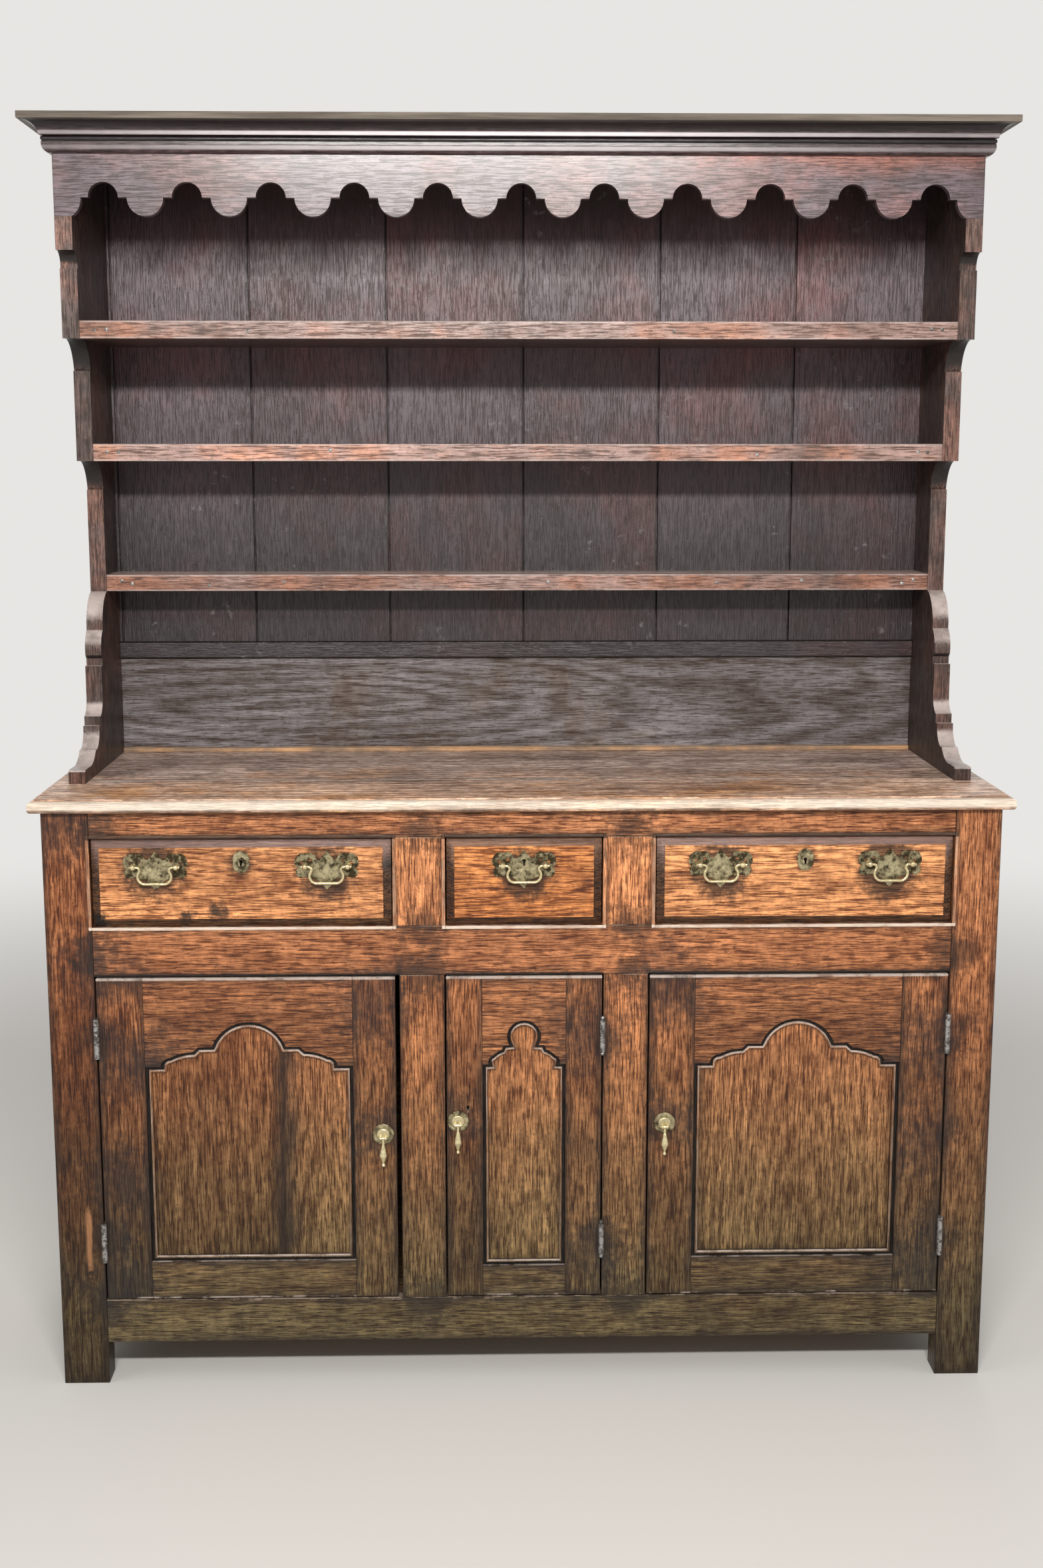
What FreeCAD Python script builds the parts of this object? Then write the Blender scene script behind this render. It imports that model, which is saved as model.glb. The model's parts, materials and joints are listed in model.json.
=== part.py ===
"""Welsh dresser in oak: a base with three drawers over three cupboards, and an open plate rack above.

The frame is +Z up, +X to the right and +Y to the back, with the origin on the floor under the
middle of the base's top.
"""
import FreeCAD, Part
import math
import os

import Sketcher

Vector = FreeCAD.Vector

# Driving dimensions in millimetres. Setbacks are measured back from the front face of the base.
SIZES = {
    # Base
    "base_height": 932.0,
    "carcass_width": 1440.0,
    "carcass_depth": 470.0,
    "stile_width": 70.0,
    "stile_depth": 45.0,
    "post_width": 45.0,
    "post_depth": 40.0,
    "rail_thickness": 30.0,
    "top_rail_height": 41.0,
    "drawer_opening_height": 136.0,
    "middle_rail_height": 77.0,
    "bottom_rail_height": 70.0,
    "foot_height": 68.0,
    "middle_drawer_opening": 238.0,
    "drawer_muntin_width": 79.0,
    "middle_door_opening": 242.0,
    "door_muntin_width": 68.0,
    "side_rail_thickness": 24.0,
    "side_top_rail_height": 60.0,
    "side_panel_thickness": 10.0,
    "groove_depth": 8.0,
    "backboard_thickness": 13.0,
    "floor_thickness": 16.0,
    "floor_housing": 6.0,
    "tenon_thickness": 10.0,
    "tenon_length": 30.0,
    "side_tenon_length": 18.0,
    "muntin_tenon_length": 15.0,
    "tenon_shoulder": 9.0,
    # Top of the base
    "top_thickness": 20.0,
    "top_overhang_front": 17.0,
    "top_overhang_side": 16.0,
    "top_front_board_depth": 182.0,
    "top_step_height": 2.0,
    "top_step_margin": 10.0,
    "top_nose_radius": 8.0,
    "top_under_radius": 5.0,
    # Drawers
    "drawer_gap": 2.0,
    "drawer_rest_gap": 0.2,
    "drawer_front_thickness": 20.0,
    "drawer_bevel_width": 12.0,
    "drawer_bevel_depth": 4.0,
    "drawer_field_step": 1.6,
    "drawer_rear_gap": 17.0,
    "drawer_side_thickness": 12.0,
    "drawer_side_height": 118.0,
    "drawer_side_inset": 1.0,
    "drawer_bottom_thickness": 8.0,
    "drawer_bottom_lift": 8.0,
    "drawer_bottom_groove": 5.0,
    "dovetail_length": 13.0,
    "dovetail_root": 18.0,
    "dovetail_end": 26.0,
    "runner_thickness": 18.0,
    "runner_bearing": 24.0,
    "guide_height": 26.0,
    "runner_housing": 8.0,
    "bearer_height": 45.0,
    "bearer_thickness": 22.0,
    "bead_width": 5.0,
    "bead_proud": 2.0,
    # Brass on the drawers
    "handle_inset": 98.0,
    "handle_height": 94.0,
    "plate_width": 97.0,
    "plate_height": 59.0,
    "plate_drop": 7.0,
    "plate_thickness": 1.6,
    "piercing_radius": 2.8,
    "post_spacing": 64.0,
    "post_standoff": 9.5,
    "post_head_radius": 4.6,
    "post_shank_radius": 2.6,
    "post_collar_radius": 5.5,
    "post_collar_thickness": 1.5,
    "shank_fit": 0.15,
    "bail_radius": 2.1,
    "bail_pin_tail": 5.5,
    "bail_crook_radius": 4.5,
    "bail_flare_radius": 6.0,
    "bail_belly_radius": 11.0,
    "pivot_fit": 0.06,
    "escutcheon_width": 24.0,
    "escutcheon_height": 33.0,
    "escutcheon_thickness": 1.6,
    "escutcheon_height_up": 100.0,
    "keyhole_radius": 2.7,
    "keyhole_slot_width": 3.0,
    "keyhole_slot_length": 8.0,
    "lock_width": 58.0,
    "lock_height": 44.0,
    "lock_depth": 12.0,
    "lock_plate_lip": 3.0,
    "lock_plate_thickness": 2.0,
    # Doors
    "door_thickness": 20.0,
    "door_gap": 2.4,
    "left_door_lock_gap": 7.0,
    "door_stile_width": 70.0,
    "middle_door_stile_width": 55.0,
    "door_bottom_rail_height": 60.0,
    "middle_door_bottom_rail_height": 49.0,
    "door_top_rail_height": 140.0,
    "door_arch_rise": 70.0,
    "door_panel_thickness": 9.0,
    "door_panel_recess": 6.0,
    "door_tenon_thickness": 7.0,
    "door_tenon_length": 32.0,
    "door_tenon_shoulder": 16.0,
    "left_panel_right_board": 106.2,
    "hinge_inset": 96.0,
    "hinge_length": 62.0,
    "middle_hinge_length": 50.0,
    "hinge_leaf_thickness": 1.1,
    "hinge_leaf_width": 18.0,
    "hinge_barrel_radius": 4.2,
    "hinge_standoff": 4.5,
    "hinge_pin_radius": 1.6,
    "hinge_knuckle_gap": 0.3,
    "hinge_finial_radius": 3.2,
    "left_pull_height": 268.0,
    "middle_pull_height": 288.0,
    "right_pull_height": 283.0,
    "pull_inset": 25.0,
    "middle_pull_inset": 17.0,
    "door_keyhole_rise": 22.0,
    "door_keyhole_inset": 32.5,
    "rose_radius": 16.5,
    "rose_thickness": 2.2,
    "rose_dome_radius": 10.5,
    "rose_dome_height": 3.2,
    "pull_pivot_drop": 4.0,
    "pull_pivot_standoff": 9.0,
    "pull_eye_radius": 3.0,
    "pull_eye_length": 5.0,
    "pull_pin_radius": 1.2,
    "pull_lug_thickness": 2.2,
    "pull_lug_gap": 0.35,
    "drop_length": 46.0,
    "drop_radius": 6.4,
    # Plate rack
    "rack_height": 1003.0,
    "rack_inset": 16.0,
    "rack_side_thickness": 26.0,
    "frieze_setback": 190.0,
    "frieze_thickness": 15.0,
    "frieze_drop": 91.0,
    "frieze_pitch": 126.0,
    "frieze_arch_radius": 22.5,
    "frieze_lobe_radius": 27.5,
    "frieze_trim": 6.0,
    "neck_drop": 49.0,
    "neck_height": 25.0,
    "neck_quirk": 6.0,
    "upper_setback": 214.0,
    "middle_setback": 284.0,
    "lower_setback": 352.0,
    "toe_setback": 130.0,
    "shelf_thickness": 27.0,
    "shelf_recess": 3.0,
    "shelf_housing": 8.0,
    "scoop_height": 46.0,
    "plate_groove_setback": 60.0,
    "plate_groove_width": 8.0,
    "plate_groove_depth": 3.0,
    "cornice_height": 54.0,
    "cornice_projection": 42.0,
    "roof_drop": 5.0,
    "roof_thickness": 14.0,
    "rack_rebate": 12.0,
    "board_gap": 3.0,
    "board_lap": 9.0,
    "filler_width": 16.0,
    "batten_height": 26.0,
    "batten_lift": 163.0,
    "batten_proud": 9.0,
    "foot_strip_height": 7.0,
    "foot_strip_depth": 9.0,
    # Shared
    "overrun": 2.0,
}

# Outline of the scrolled foot of a rack side: share of the way forward from the lowest shelf to the toe,
# share of the height under that shelf, and the bow of the stretch that leads there.
FOOT_SHARES = (
    (0.20, 0.83, 0.30),
    (0.20, 0.79, 0.0),
    (0.28, 0.65, 0.35),
    (0.25, 0.63, 0.0),
    (0.25, 0.59, 0.0),
    (0.30, 0.59, 0.0),
    (0.30, 0.40, 0.0),
    (0.40, 0.31, -0.35),
    (0.40, 0.26, 0.0),
    (0.45, 0.26, 0.0),
    (0.56, 0.14, -0.35),
    (0.61, 0.14, 0.0),
    (0.85, 0.075, -0.25),
    (0.985, 0.075, 0.0),
    (1.0, 0.06, 0.41),
    (1.0, 0.0, 0.0),
)

# Section of the cornice: share of the projection, share of the height, bow.
CORNICE_SHARES = (
    (0.10, 0.00, 0.0),
    (0.30, 0.25, 0.35),
    (0.30, 0.30, 0.0),
    (0.23, 0.30, 0.0),
    (0.23, 0.44, 1.0),
    (0.37, 0.46, 0.0),
    (0.88, 0.82, -0.40),
    (1.00, 0.82, 0.0),
    (1.00, 1.00, 0.0),
)

# Arched head of a door panel, from its middle to one side: share of the half width, share of the rise, bow.
ARCH_SHARES = (
    (0.355, 0.44, None),
    (0.49, 0.44, 0.0),
    (0.54, 0.33, 0.0),
    (0.76, 0.20, 0.12),
    (0.85, 0.00, 0.41),
    (1.00, 0.00, 0.0),
)

# Right half of a batwing plate, from its peak down: share of the half width, of the half height, bow.
PLATE_SHARES = (
    (0.21, 0.58, 0.0),
    (0.33, 0.62, 0.3),
    (0.62, 0.84, -0.55),
    (0.98, 0.52, -0.50),
    (0.84, 0.08, -0.45),
    (0.95, -0.16, -0.60),
    (0.72, -0.36, -0.55),
    (0.47, -0.40, 0.2),
    (0.14, -0.78, 0.25),
)
PIERCING_SHARES = ((0.50, 0.50), (0.76, 0.38))

# Pear drop: share of its greatest radius and of its length below the pivot, down the outside.
DROP_SHARES = (
    (0.34, 0.00),
    (0.34, 0.20),
    (0.46, 0.27),
    (0.946, 0.55),
    (0.946, 0.64),
    (0.40, 0.82),
    (0.30, 0.84),
    (0.30, 0.93),
    (0.00, 0.93),
)
DROP_BELLY_SHARE = 0.595
DROP_TIP_SHARE = 0.46

# Height of each shelf's top over the base: share of the height under the frieze.
UPPER_SHELF_SHARE = 703 / 853
MIDDLE_SHELF_SHARE = 518 / 853
LOWER_SHELF_SHARE = 308 / 853

DRAWER_TAILS = 3
BACKBOARD_COUNT = 6
BASE_BACKBOARD_COUNT = 3
FLARE_ANGLE = math.radians(35)
QUARTER_BOW = math.tan(math.pi / 8)

# Bow of the short round at each end of the frieze
FRIEZE_END_BOW_SHARE = 0.28

doc = FreeCAD.newDocument("welsh_dresser")
sheet = doc.addObject("Spreadsheet::Sheet", "Sizes")
for row, (alias, value) in enumerate(SIZES.items(), start=1):
    sheet.set("A%d" % row, alias)
    sheet.set("B%d" % row, str(value))
    sheet.setAlias("B%d" % row, alias)
doc.recompute()


class Size:
    """A length, with the expression that gives it from the cells of the sheet."""

    def __init__(self, value, text):
        self.value = value
        self.text = text

    @staticmethod
    def of(thing):
        return thing if isinstance(thing, Size) else Size(float(thing), repr(float(thing)))

    def _with(self, sign, other, value):
        return Size(value, "(%s %s %s)" % (self.text, sign, other.text))

    def __add__(self, other):
        other = Size.of(other)
        return self._with("+", other, self.value + other.value)

    def __sub__(self, other):
        other = Size.of(other)
        return self._with("-", other, self.value - other.value)

    def __mul__(self, other):
        other = Size.of(other)
        return self._with("*", other, self.value * other.value)

    def __truediv__(self, other):
        other = Size.of(other)
        return self._with("/", other, self.value / other.value)

    def __neg__(self):
        return ZERO - self

    def __radd__(self, other):
        return Size.of(other) + self

    def __rsub__(self, other):
        return Size.of(other) - self

    def __rmul__(self, other):
        return Size.of(other) * self


class Cells:
    """Every cell of the sheet by its alias, as a Size."""

    def __init__(self):
        for name in SIZES:
            setattr(self, name, Size(float(sheet.get(name)), "Sizes." + name))


ZERO = Size(0.0, "0")
s = Cells()
nodes = []


class Outline:
    """A closed outline of straight and round stretches, in sizes."""

    def __init__(self, across, up):
        self.points = [(Size.of(across), Size.of(up))]
        self.centres = []
        self.turns = []

    def to(self, across, up, bow=0.0):
        """Goes on to a point. The bow is the rise of an arc over half its chord, left turns positive."""
        across, up = Size.of(across), Size.of(up)
        start = self.points[-1]
        self.points.append((across, up))
        self._stretch(start, (across, up), Size.of(bow))
        return self

    def close(self, bow=0.0):
        self._stretch(self.points[-1], self.points[0], Size.of(bow))
        return self

    def _stretch(self, start, stop, bow):
        if bow.value == 0.0:
            self.centres.append(None)
            self.turns.append(0)
            return
        reach = (1 - bow * bow) / (bow * 4)
        across = (start[0] + stop[0]) / 2 - (stop[1] - start[1]) * reach
        up = (start[1] + stop[1]) / 2 + (stop[0] - start[0]) * reach
        self.centres.append((across, up))
        self.turns.append(1 if bow.value > 0 else -1)


def spot(pair):
    return Vector(pair[0].value, pair[1].value, 0)


def bind(obj, **texts):
    for name, size in texts.items():
        obj.setExpression(name, Size.of(size).text)
    return obj


def place(obj, across=ZERO, deep=ZERO, up=ZERO):
    for axis, size in zip("xyz", (across, deep, up)):
        obj.setExpression("Placement.Base." + axis, Size.of(size).text)
    return obj


def draw(body, role, outline, name, closed=True):
    """A sketch of an outline on one of a body's own planes, with each point held to the sheet."""
    sketch = body.newObject("Sketcher::SketchObject", name)
    plane = [feature for feature in body.Origin.OriginFeatures if feature.Role == role][0]
    sketch.AttachmentSupport = [(plane, "")]
    sketch.MapMode = "FlatFace"
    count = len(outline.points)
    shapes = []
    ends = []
    for number, centre in enumerate(outline.centres):
        start, stop = spot(outline.points[number]), spot(outline.points[(number + 1) % count])
        if centre is None:
            shapes.append(Part.LineSegment(start, stop))
            ends.append((1, 2))
            continue
        middle = spot(centre)
        circle = Part.Circle(middle, Vector(0, 0, 1), (start - middle).Length)
        first = math.atan2(start.y - middle.y, start.x - middle.x)
        last = math.atan2(stop.y - middle.y, stop.x - middle.x)
        if outline.turns[number] < 0:
            first, last = last, first
        if last <= first:
            last += 2 * math.pi
        shapes.append(Part.ArcOfCircle(circle, first, last))
        ends.append((1, 2) if outline.turns[number] > 0 else (2, 1))
    sketch.addGeometry(shapes, False)
    rules = []
    texts = []
    for number, (across, up) in enumerate(outline.points):
        if number < len(shapes):
            edge, end = number, ends[number][0]
        else:
            edge, end = number - 1, ends[number - 1][1]
        rules.append(Sketcher.Constraint("DistanceX", -1, 1, edge, end, across.value))
        rules.append(Sketcher.Constraint("DistanceY", -1, 1, edge, end, up.value))
        texts += [across.text, up.text]
    for number, centre in enumerate(outline.centres):
        follow = (number + 1) % count
        if follow < len(shapes) and (closed or follow):
            rules.append(Sketcher.Constraint("Coincident", number, ends[number][1], follow, ends[follow][0]))
            texts.append(None)
        if centre is None:
            continue
        chord = spot(outline.points[follow]) - spot(outline.points[number])
        if abs(chord.x) > abs(chord.y):
            rules.append(Sketcher.Constraint("DistanceY", -1, 1, number, 3, centre[1].value))
            texts.append(centre[1].text)
        else:
            rules.append(Sketcher.Constraint("DistanceX", -1, 1, number, 3, centre[0].value))
            texts.append(centre[0].text)
    sketch.addConstraint(rules)
    for number, text in enumerate(texts):
        if text:
            sketch.setExpression("Constraints[%d]" % number, text)
    return sketch


def new_body(name):
    return doc.addObject("PartDesign::Body", name)


def pad(body, sketch, length, back=False):
    """Pads a sketch along its plane's normal, or against it."""
    feature = body.newObject("PartDesign::Pad", sketch.Name + "_pad")
    feature.Profile = sketch
    feature.Reversed = back
    bind(feature, Length=length)
    return feature


def pocket(body, sketch):
    """Cuts a sketch right through its body, both ways from its plane."""
    feature = body.newObject("PartDesign::Pocket", sketch.Name + "_cut")
    feature.Profile = sketch
    feature.Type = "ThroughAll"
    feature.SideType = "Symmetric"
    return feature


def revolve(body, sketch):
    """Turns a sketch round its upright axis."""
    feature = body.newObject("PartDesign::Revolution", sketch.Name + "_turn")
    feature.Profile = sketch
    feature.ReferenceAxis = (sketch, ["V_Axis"])
    feature.Angle = 360
    return feature


def in_order(pair):
    low, high = Size.of(pair[0]), Size.of(pair[1])
    return (low, high) if low.value < high.value else (high, low)


def board(name, across, deep, up):
    """A squared board between two places along each axis."""
    (left, right), (front, back), (low, high) = in_order(across), in_order(deep), in_order(up)
    obj = doc.addObject("Part::Box", name)
    bind(obj, Length=right - left, Width=back - front, Height=high - low)
    return place(obj, left, front, low)


def rod(name, axis, across, deep, up, radius, length):
    """A cylinder that starts at a place and runs along an axis."""
    obj = doc.addObject("Part::Cylinder", name)
    turns = {
        "x": FreeCAD.Rotation(Vector(0, 1, 0), 90),
        "y": FreeCAD.Rotation(Vector(1, 0, 0), -90),
        "z": FreeCAD.Rotation(),
    }
    obj.Placement = FreeCAD.Placement(Vector(), turns[axis])
    bind(obj, Radius=radius, Height=length)
    return place(obj, across, deep, up)


def ball(name, across, deep, up, radius):
    obj = doc.addObject("Part::Sphere", name)
    bind(obj, Radius=radius)
    return place(obj, across, deep, up)


def wedge(name, across, deep, up, far_across, far_up):
    """A board whose section changes evenly from its front to its back."""
    obj = doc.addObject("Part::Wedge", name)
    bind(obj, Xmin=across[0], Xmax=across[1], Zmin=up[0], Zmax=up[1], Ymin=deep[0], Ymax=deep[1])
    return bind(obj, X2min=far_across[0], X2max=far_across[1], Z2min=far_up[0], Z2max=far_up[1])


def group(name, pieces):
    """Separate solids side by side under one name."""
    obj = doc.addObject("Part::Compound", name)
    obj.Links = pieces
    return obj


def join(name, pieces):
    obj = doc.addObject("Part::MultiFuse", name)
    obj.Shapes = pieces
    return obj


def cut(name, base, tools):
    obj = doc.addObject("Part::Cut", name)
    obj.Base = base
    obj.Tool = tools[0] if len(tools) == 1 else group(name + "_cutters", tools)
    return obj


def round_edges(name, base, picks):
    """Rounds the edges that a test picks by their middle and direction."""
    doc.recompute()
    rounded = []
    for number, edge in enumerate(base.Shape.Edges, start=1):
        for test, radius in picks:
            if test(edge.CenterOfMass, edge.tangentAt(edge.FirstParameter)):
                rounded.append((number, radius.value, radius.value))
    obj = doc.addObject("Part::Fillet", name)
    obj.Base = base
    obj.Edges = rounded
    return obj


def near(one, other):
    return abs(one - other) < 0.01 * s.overrun.value


def node(label, obj):
    """Gives a finished sub-part the label that names it."""
    obj.Label = label
    nodes.append(obj)
    return obj


# Levels and places that several sub-parts share
top_depth = s.carcass_depth + s.top_overhang_front
front = top_depth / -2
back = top_depth / 2
face = front + s.top_overhang_front
half_carcass = s.carcass_width / 2
carcass_top = s.base_height - s.top_thickness
opening_side = half_carcass - s.stile_width
top_rail_low = carcass_top - s.top_rail_height
drawer_low = top_rail_low - s.drawer_opening_height
door_high = drawer_low - s.middle_rail_height
foot_height = s.foot_height
door_low = foot_height + s.bottom_rail_height
rail_back = face + s.rail_thickness
inner_back = back - s.backboard_thickness
post_front = inner_back - s.post_depth
half_rack = half_carcass - s.rack_inset
rack_inside = half_rack - s.rack_side_thickness
rack_top = s.base_height + s.rack_height
cornice_low = rack_top - s.cornice_height
roof_high = rack_top - s.roof_drop
side_top = roof_high - s.roof_thickness
frieze_low = cornice_low - s.frieze_drop
frieze_front = face + s.frieze_setback
frieze_back = frieze_front + s.frieze_thickness
board_front = back - s.backboard_thickness
batten_low = s.base_height + s.batten_lift
batten_high = batten_low + s.batten_height
drawer_muntin_inner = s.middle_drawer_opening / 2
drawer_muntin_outer = drawer_muntin_inner + s.drawer_muntin_width
door_muntin_inner = s.middle_door_opening / 2
door_muntin_outer = door_muntin_inner + s.door_muntin_width
SIDES = (("left", -1), ("right", 1))

# Drawers and doors by name: the two edges of each opening
DRAWERS = {
    "left": (-opening_side, -drawer_muntin_outer),
    "middle": (-drawer_muntin_inner, drawer_muntin_inner),
    "right": (drawer_muntin_outer, opening_side),
}
DOORS = {
    "left": (-opening_side, -door_muntin_outer),
    "middle": (-door_muntin_inner, door_muntin_inner),
    "right": (door_muntin_outer, opening_side),
}


def tenon_depths(thickness, total, start=face):
    """Front and back of a tenon in the middle of a rail."""
    first = start + (total - thickness) / 2
    return first, first + thickness


def front_rails():
    """The three long rails and their tenons in the front stiles."""
    spans = {
        "top_rail": (top_rail_low, carcass_top),
        "middle_rail": (door_high, drawer_low),
        "bottom_rail": (foot_height, door_low),
    }
    deep = tenon_depths(s.tenon_thickness, s.rail_thickness)
    rails, tenons = {}, []
    for name, (low, high) in spans.items():
        body = board(name + "_body", (-opening_side, opening_side), (face, rail_back), (low, high))
        ends = []
        for side, sign in SIDES:
            across = (opening_side * sign, (opening_side + s.tenon_length) * sign)
            up = (low + s.tenon_shoulder, high - s.tenon_shoulder)
            ends.append(board("%s_%s_tenon" % (name, side), across, deep, up))
        tenons.append(ends)
        rails[name] = join(name + "_tenoned", [body] + ends)
    return rails, [pair[0] for pair in tenons], [pair[1] for pair in tenons]


def muntins():
    """The uprights between the drawers and between the doors."""
    deep = tenon_depths(s.tenon_thickness, s.rail_thickness)
    pieces, tenons = [], {"top": [], "middle": [], "bottom": []}
    rows = (
        ("drawer", drawer_muntin_inner, drawer_muntin_outer, drawer_low, top_rail_low, "middle", "top"),
        ("door", door_muntin_inner, door_muntin_outer, door_low, door_high, "bottom", "middle"),
    )
    for kind, inner, outer, low, high, below, above in rows:
        for side, sign in SIDES:
            name = "%s_%s_muntin" % (kind, side)
            body = board(name, (inner * sign, outer * sign), (face, rail_back), (low, high))
            across = ((inner + s.tenon_shoulder) * sign, (outer - s.tenon_shoulder) * sign)
            foot = board(name + "_foot", across, deep, (low - s.muntin_tenon_length, low))
            head = board(name + "_head", across, deep, (high, high + s.muntin_tenon_length))
            tenons[below].append(foot)
            tenons[above].append(head)
            pieces.append(join(name + "_tenoned", [body, foot, head]))
    return pieces, tenons


def side_frame(side, sign):
    """Rear post, three rails and two panels of one end of the base."""
    outer = half_carcass * sign
    rail_inner = (half_carcass - s.side_rail_thickness) * sign
    post_inner = (half_carcass - s.post_width) * sign
    stile_back = face + s.stile_depth
    levels = {
        "upper": (carcass_top - s.side_top_rail_height, carcass_top),
        "drawer": (door_high, drawer_low),
        "lower": (foot_height, door_low),
    }
    cheek = (s.side_rail_thickness - s.tenon_thickness) / 2
    tenon_across = (outer - cheek * sign, rail_inner + cheek * sign)
    panel_cheek = (s.side_rail_thickness - s.side_panel_thickness) / 2
    panel_across = (outer - panel_cheek * sign, rail_inner + panel_cheek * sign)
    rails, front_tenons, rear_tenons = {}, [], []
    for level, (low, high) in levels.items():
        name = "%s_%s_side_rail" % (side, level)
        body = board(name, (outer, rail_inner), (stile_back, post_front), (low, high))
        up = (low + s.tenon_shoulder, high - s.tenon_shoulder)
        ahead = board(name + "_ahead", tenon_across, (stile_back - s.side_tenon_length, stile_back), up)
        behind = board(name + "_behind", tenon_across, (post_front, post_front + s.side_tenon_length), up)
        front_tenons.append(ahead)
        rear_tenons.append(behind)
        rails[level] = join(name + "_tenoned", [body, ahead, behind])
    panels = {}
    panel_deep = (stile_back - s.groove_depth, post_front + s.groove_depth)
    for level, below, above in (("high", "drawer", "upper"), ("low", "lower", "drawer")):
        up = (levels[below][1] - s.groove_depth, levels[above][0] + s.groove_depth)
        panels[level] = board("%s_%s_side_panel" % (side, level), panel_across, panel_deep, up)
    both = [panels["high"], panels["low"]]
    rails["upper"] = cut(side + "_upper_rail_grooved", rails["upper"], [panels["high"]])
    rails["drawer"] = cut(side + "_drawer_rail_grooved", rails["drawer"], both)
    post = board(side + "_post", (outer, post_inner), (post_front, inner_back), (ZERO, carcass_top))
    return rails, post, both, front_tenons, rear_tenons


def cupboard_floor():
    """The floor of the cupboards, housed in the bottom rails and cut round the posts."""
    reach = half_carcass - s.side_rail_thickness + s.floor_housing
    deep = (rail_back - s.floor_housing, inner_back)
    return board("floor_board", (-reach, reach), deep, (door_low - s.floor_thickness, door_low))


def runners():
    """Runners under the drawers' sides, guides between the drawers and the bearer behind them."""
    runner_boards, guides = [], []
    high = drawer_low
    low = high - s.runner_thickness
    places = []
    for side, sign in SIDES:
        rail_inner = half_carcass - s.side_rail_thickness
        places.append((side + "_end", sign, opening_side - s.runner_bearing, rail_inner, opening_side, rail_inner))
        inner = drawer_muntin_inner - s.runner_bearing
        outer = drawer_muntin_outer + s.runner_bearing
        places.append((side + "_muntin", sign, inner, outer, drawer_muntin_inner, drawer_muntin_outer))
    for name, sign, inner, outer, guide_inner, guide_outer in places:
        deep = (rail_back - s.runner_housing, inner_back)
        runner_boards.append(board(name + "_runner", (inner * sign, outer * sign), deep, (low, high)))
        across = (guide_inner * sign, guide_outer * sign)
        up = (high, high + s.guide_height)
        guides.append(board(name + "_guide", across, (rail_back, inner_back), up))
    return runner_boards, guides


def rear_bearer():
    """The rail behind, tenoned in the rear posts, that carries the drawer runners."""
    high = drawer_low - s.runner_thickness
    low = high - s.bearer_height
    inside = half_carcass - s.post_width
    deep = (post_front, post_front + s.bearer_thickness)
    body = board("bearer_body", (-inside, inside), deep, (low, high))
    tenon_deep = tenon_depths(s.tenon_thickness, s.bearer_thickness, post_front)
    ends = {}
    for side, sign in SIDES:
        across = (inside * sign, (inside + s.side_tenon_length) * sign)
        up = (low + s.tenon_shoulder, high - s.tenon_shoulder)
        ends[side] = board("bearer_%s_tenon" % side, across, tenon_deep, up)
    return join("bearer", [body, ends["left"], ends["right"]]), ends


def build_base():
    rails, left_tenons, right_tenons = front_rails()
    uprights, mortises = muntins()
    floor = cupboard_floor()
    bearer, bearer_ends = rear_bearer()
    runner_boards, guides = runners()
    stile_tenons = {"left": left_tenons, "right": right_tenons}
    frame_pieces, panel_pieces, posts, stile_boards = [], [], [], []
    for side, sign in SIDES:
        side_rails, post, panels, front_tenons, rear_tenons = side_frame(side, sign)
        stile = board(
            side + "_stile_body",
            (half_carcass * sign, opening_side * sign),
            (face, face + s.stile_depth),
            (ZERO, carcass_top),
        )
        stile_boards.append(stile)
        cutters = stile_tenons[side] + front_tenons + panels
        node(side + "_front_stile", cut(side + "_front_stile", stile, cutters))
        posts.append(post)
        finished_post = cut(side + "_rear_post", post, rear_tenons + panels + [bearer_ends[side]])
        lower = cut(side + "_lower_rail_grooved", side_rails["lower"], [panels[1], floor])
        frame_pieces += [finished_post, side_rails["upper"], side_rails["drawer"], lower]
        panel_pieces += panels
    node("side_frames", group("side_frames", frame_pieces + [bearer]))
    node("side_panels", group("side_panels", panel_pieces))
    node("top_rail", cut("top_rail", rails["top_rail"], mortises["top"]))
    node("middle_rail", cut("middle_rail", rails["middle_rail"], mortises["middle"] + runner_boards))
    node("bottom_rail", cut("bottom_rail", rails["bottom_rail"], mortises["bottom"] + [floor]))
    node("muntins", group("muntins", uprights))
    node("cupboard_floor", cut("cupboard_floor", floor, posts + stile_boards))
    trimmed = []
    for piece in runner_boards + guides:
        trimmed.append(cut(piece.Name + "_fitted", piece, posts + stile_boards))
    node("drawer_runners", group("drawer_runners", trimmed))
    boards = []
    span = (carcass_top - foot_height) / BASE_BACKBOARD_COUNT
    for number in range(BASE_BACKBOARD_COUNT):
        low = foot_height + span * number
        up = (low, low + span)
        boards.append(board("base_back_%d" % number, (-half_carcass, half_carcass), (inner_back, back), up))
    node("base_backboards", group("base_backboards", boards))


def build_beads():
    """Thin beads planted round the drawer openings."""
    pieces = []
    deep = (face - s.bead_proud, face)
    for name, (left, right) in DRAWERS.items():
        low, high = drawer_low, top_rail_low
        pieces.append(board(name + "_bead_low", (left, right), deep, (low - s.bead_width, low)))
        pieces.append(board(name + "_bead_high", (left, right), deep, (high, high + s.bead_width)))
        up = (low - s.bead_width, high + s.bead_width)
        pieces.append(board(name + "_bead_left", (left - s.bead_width, left), deep, up))
        pieces.append(board(name + "_bead_right", (right, right + s.bead_width), deep, up))
    node("drawer_beads", group("drawer_beads", pieces))


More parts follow.
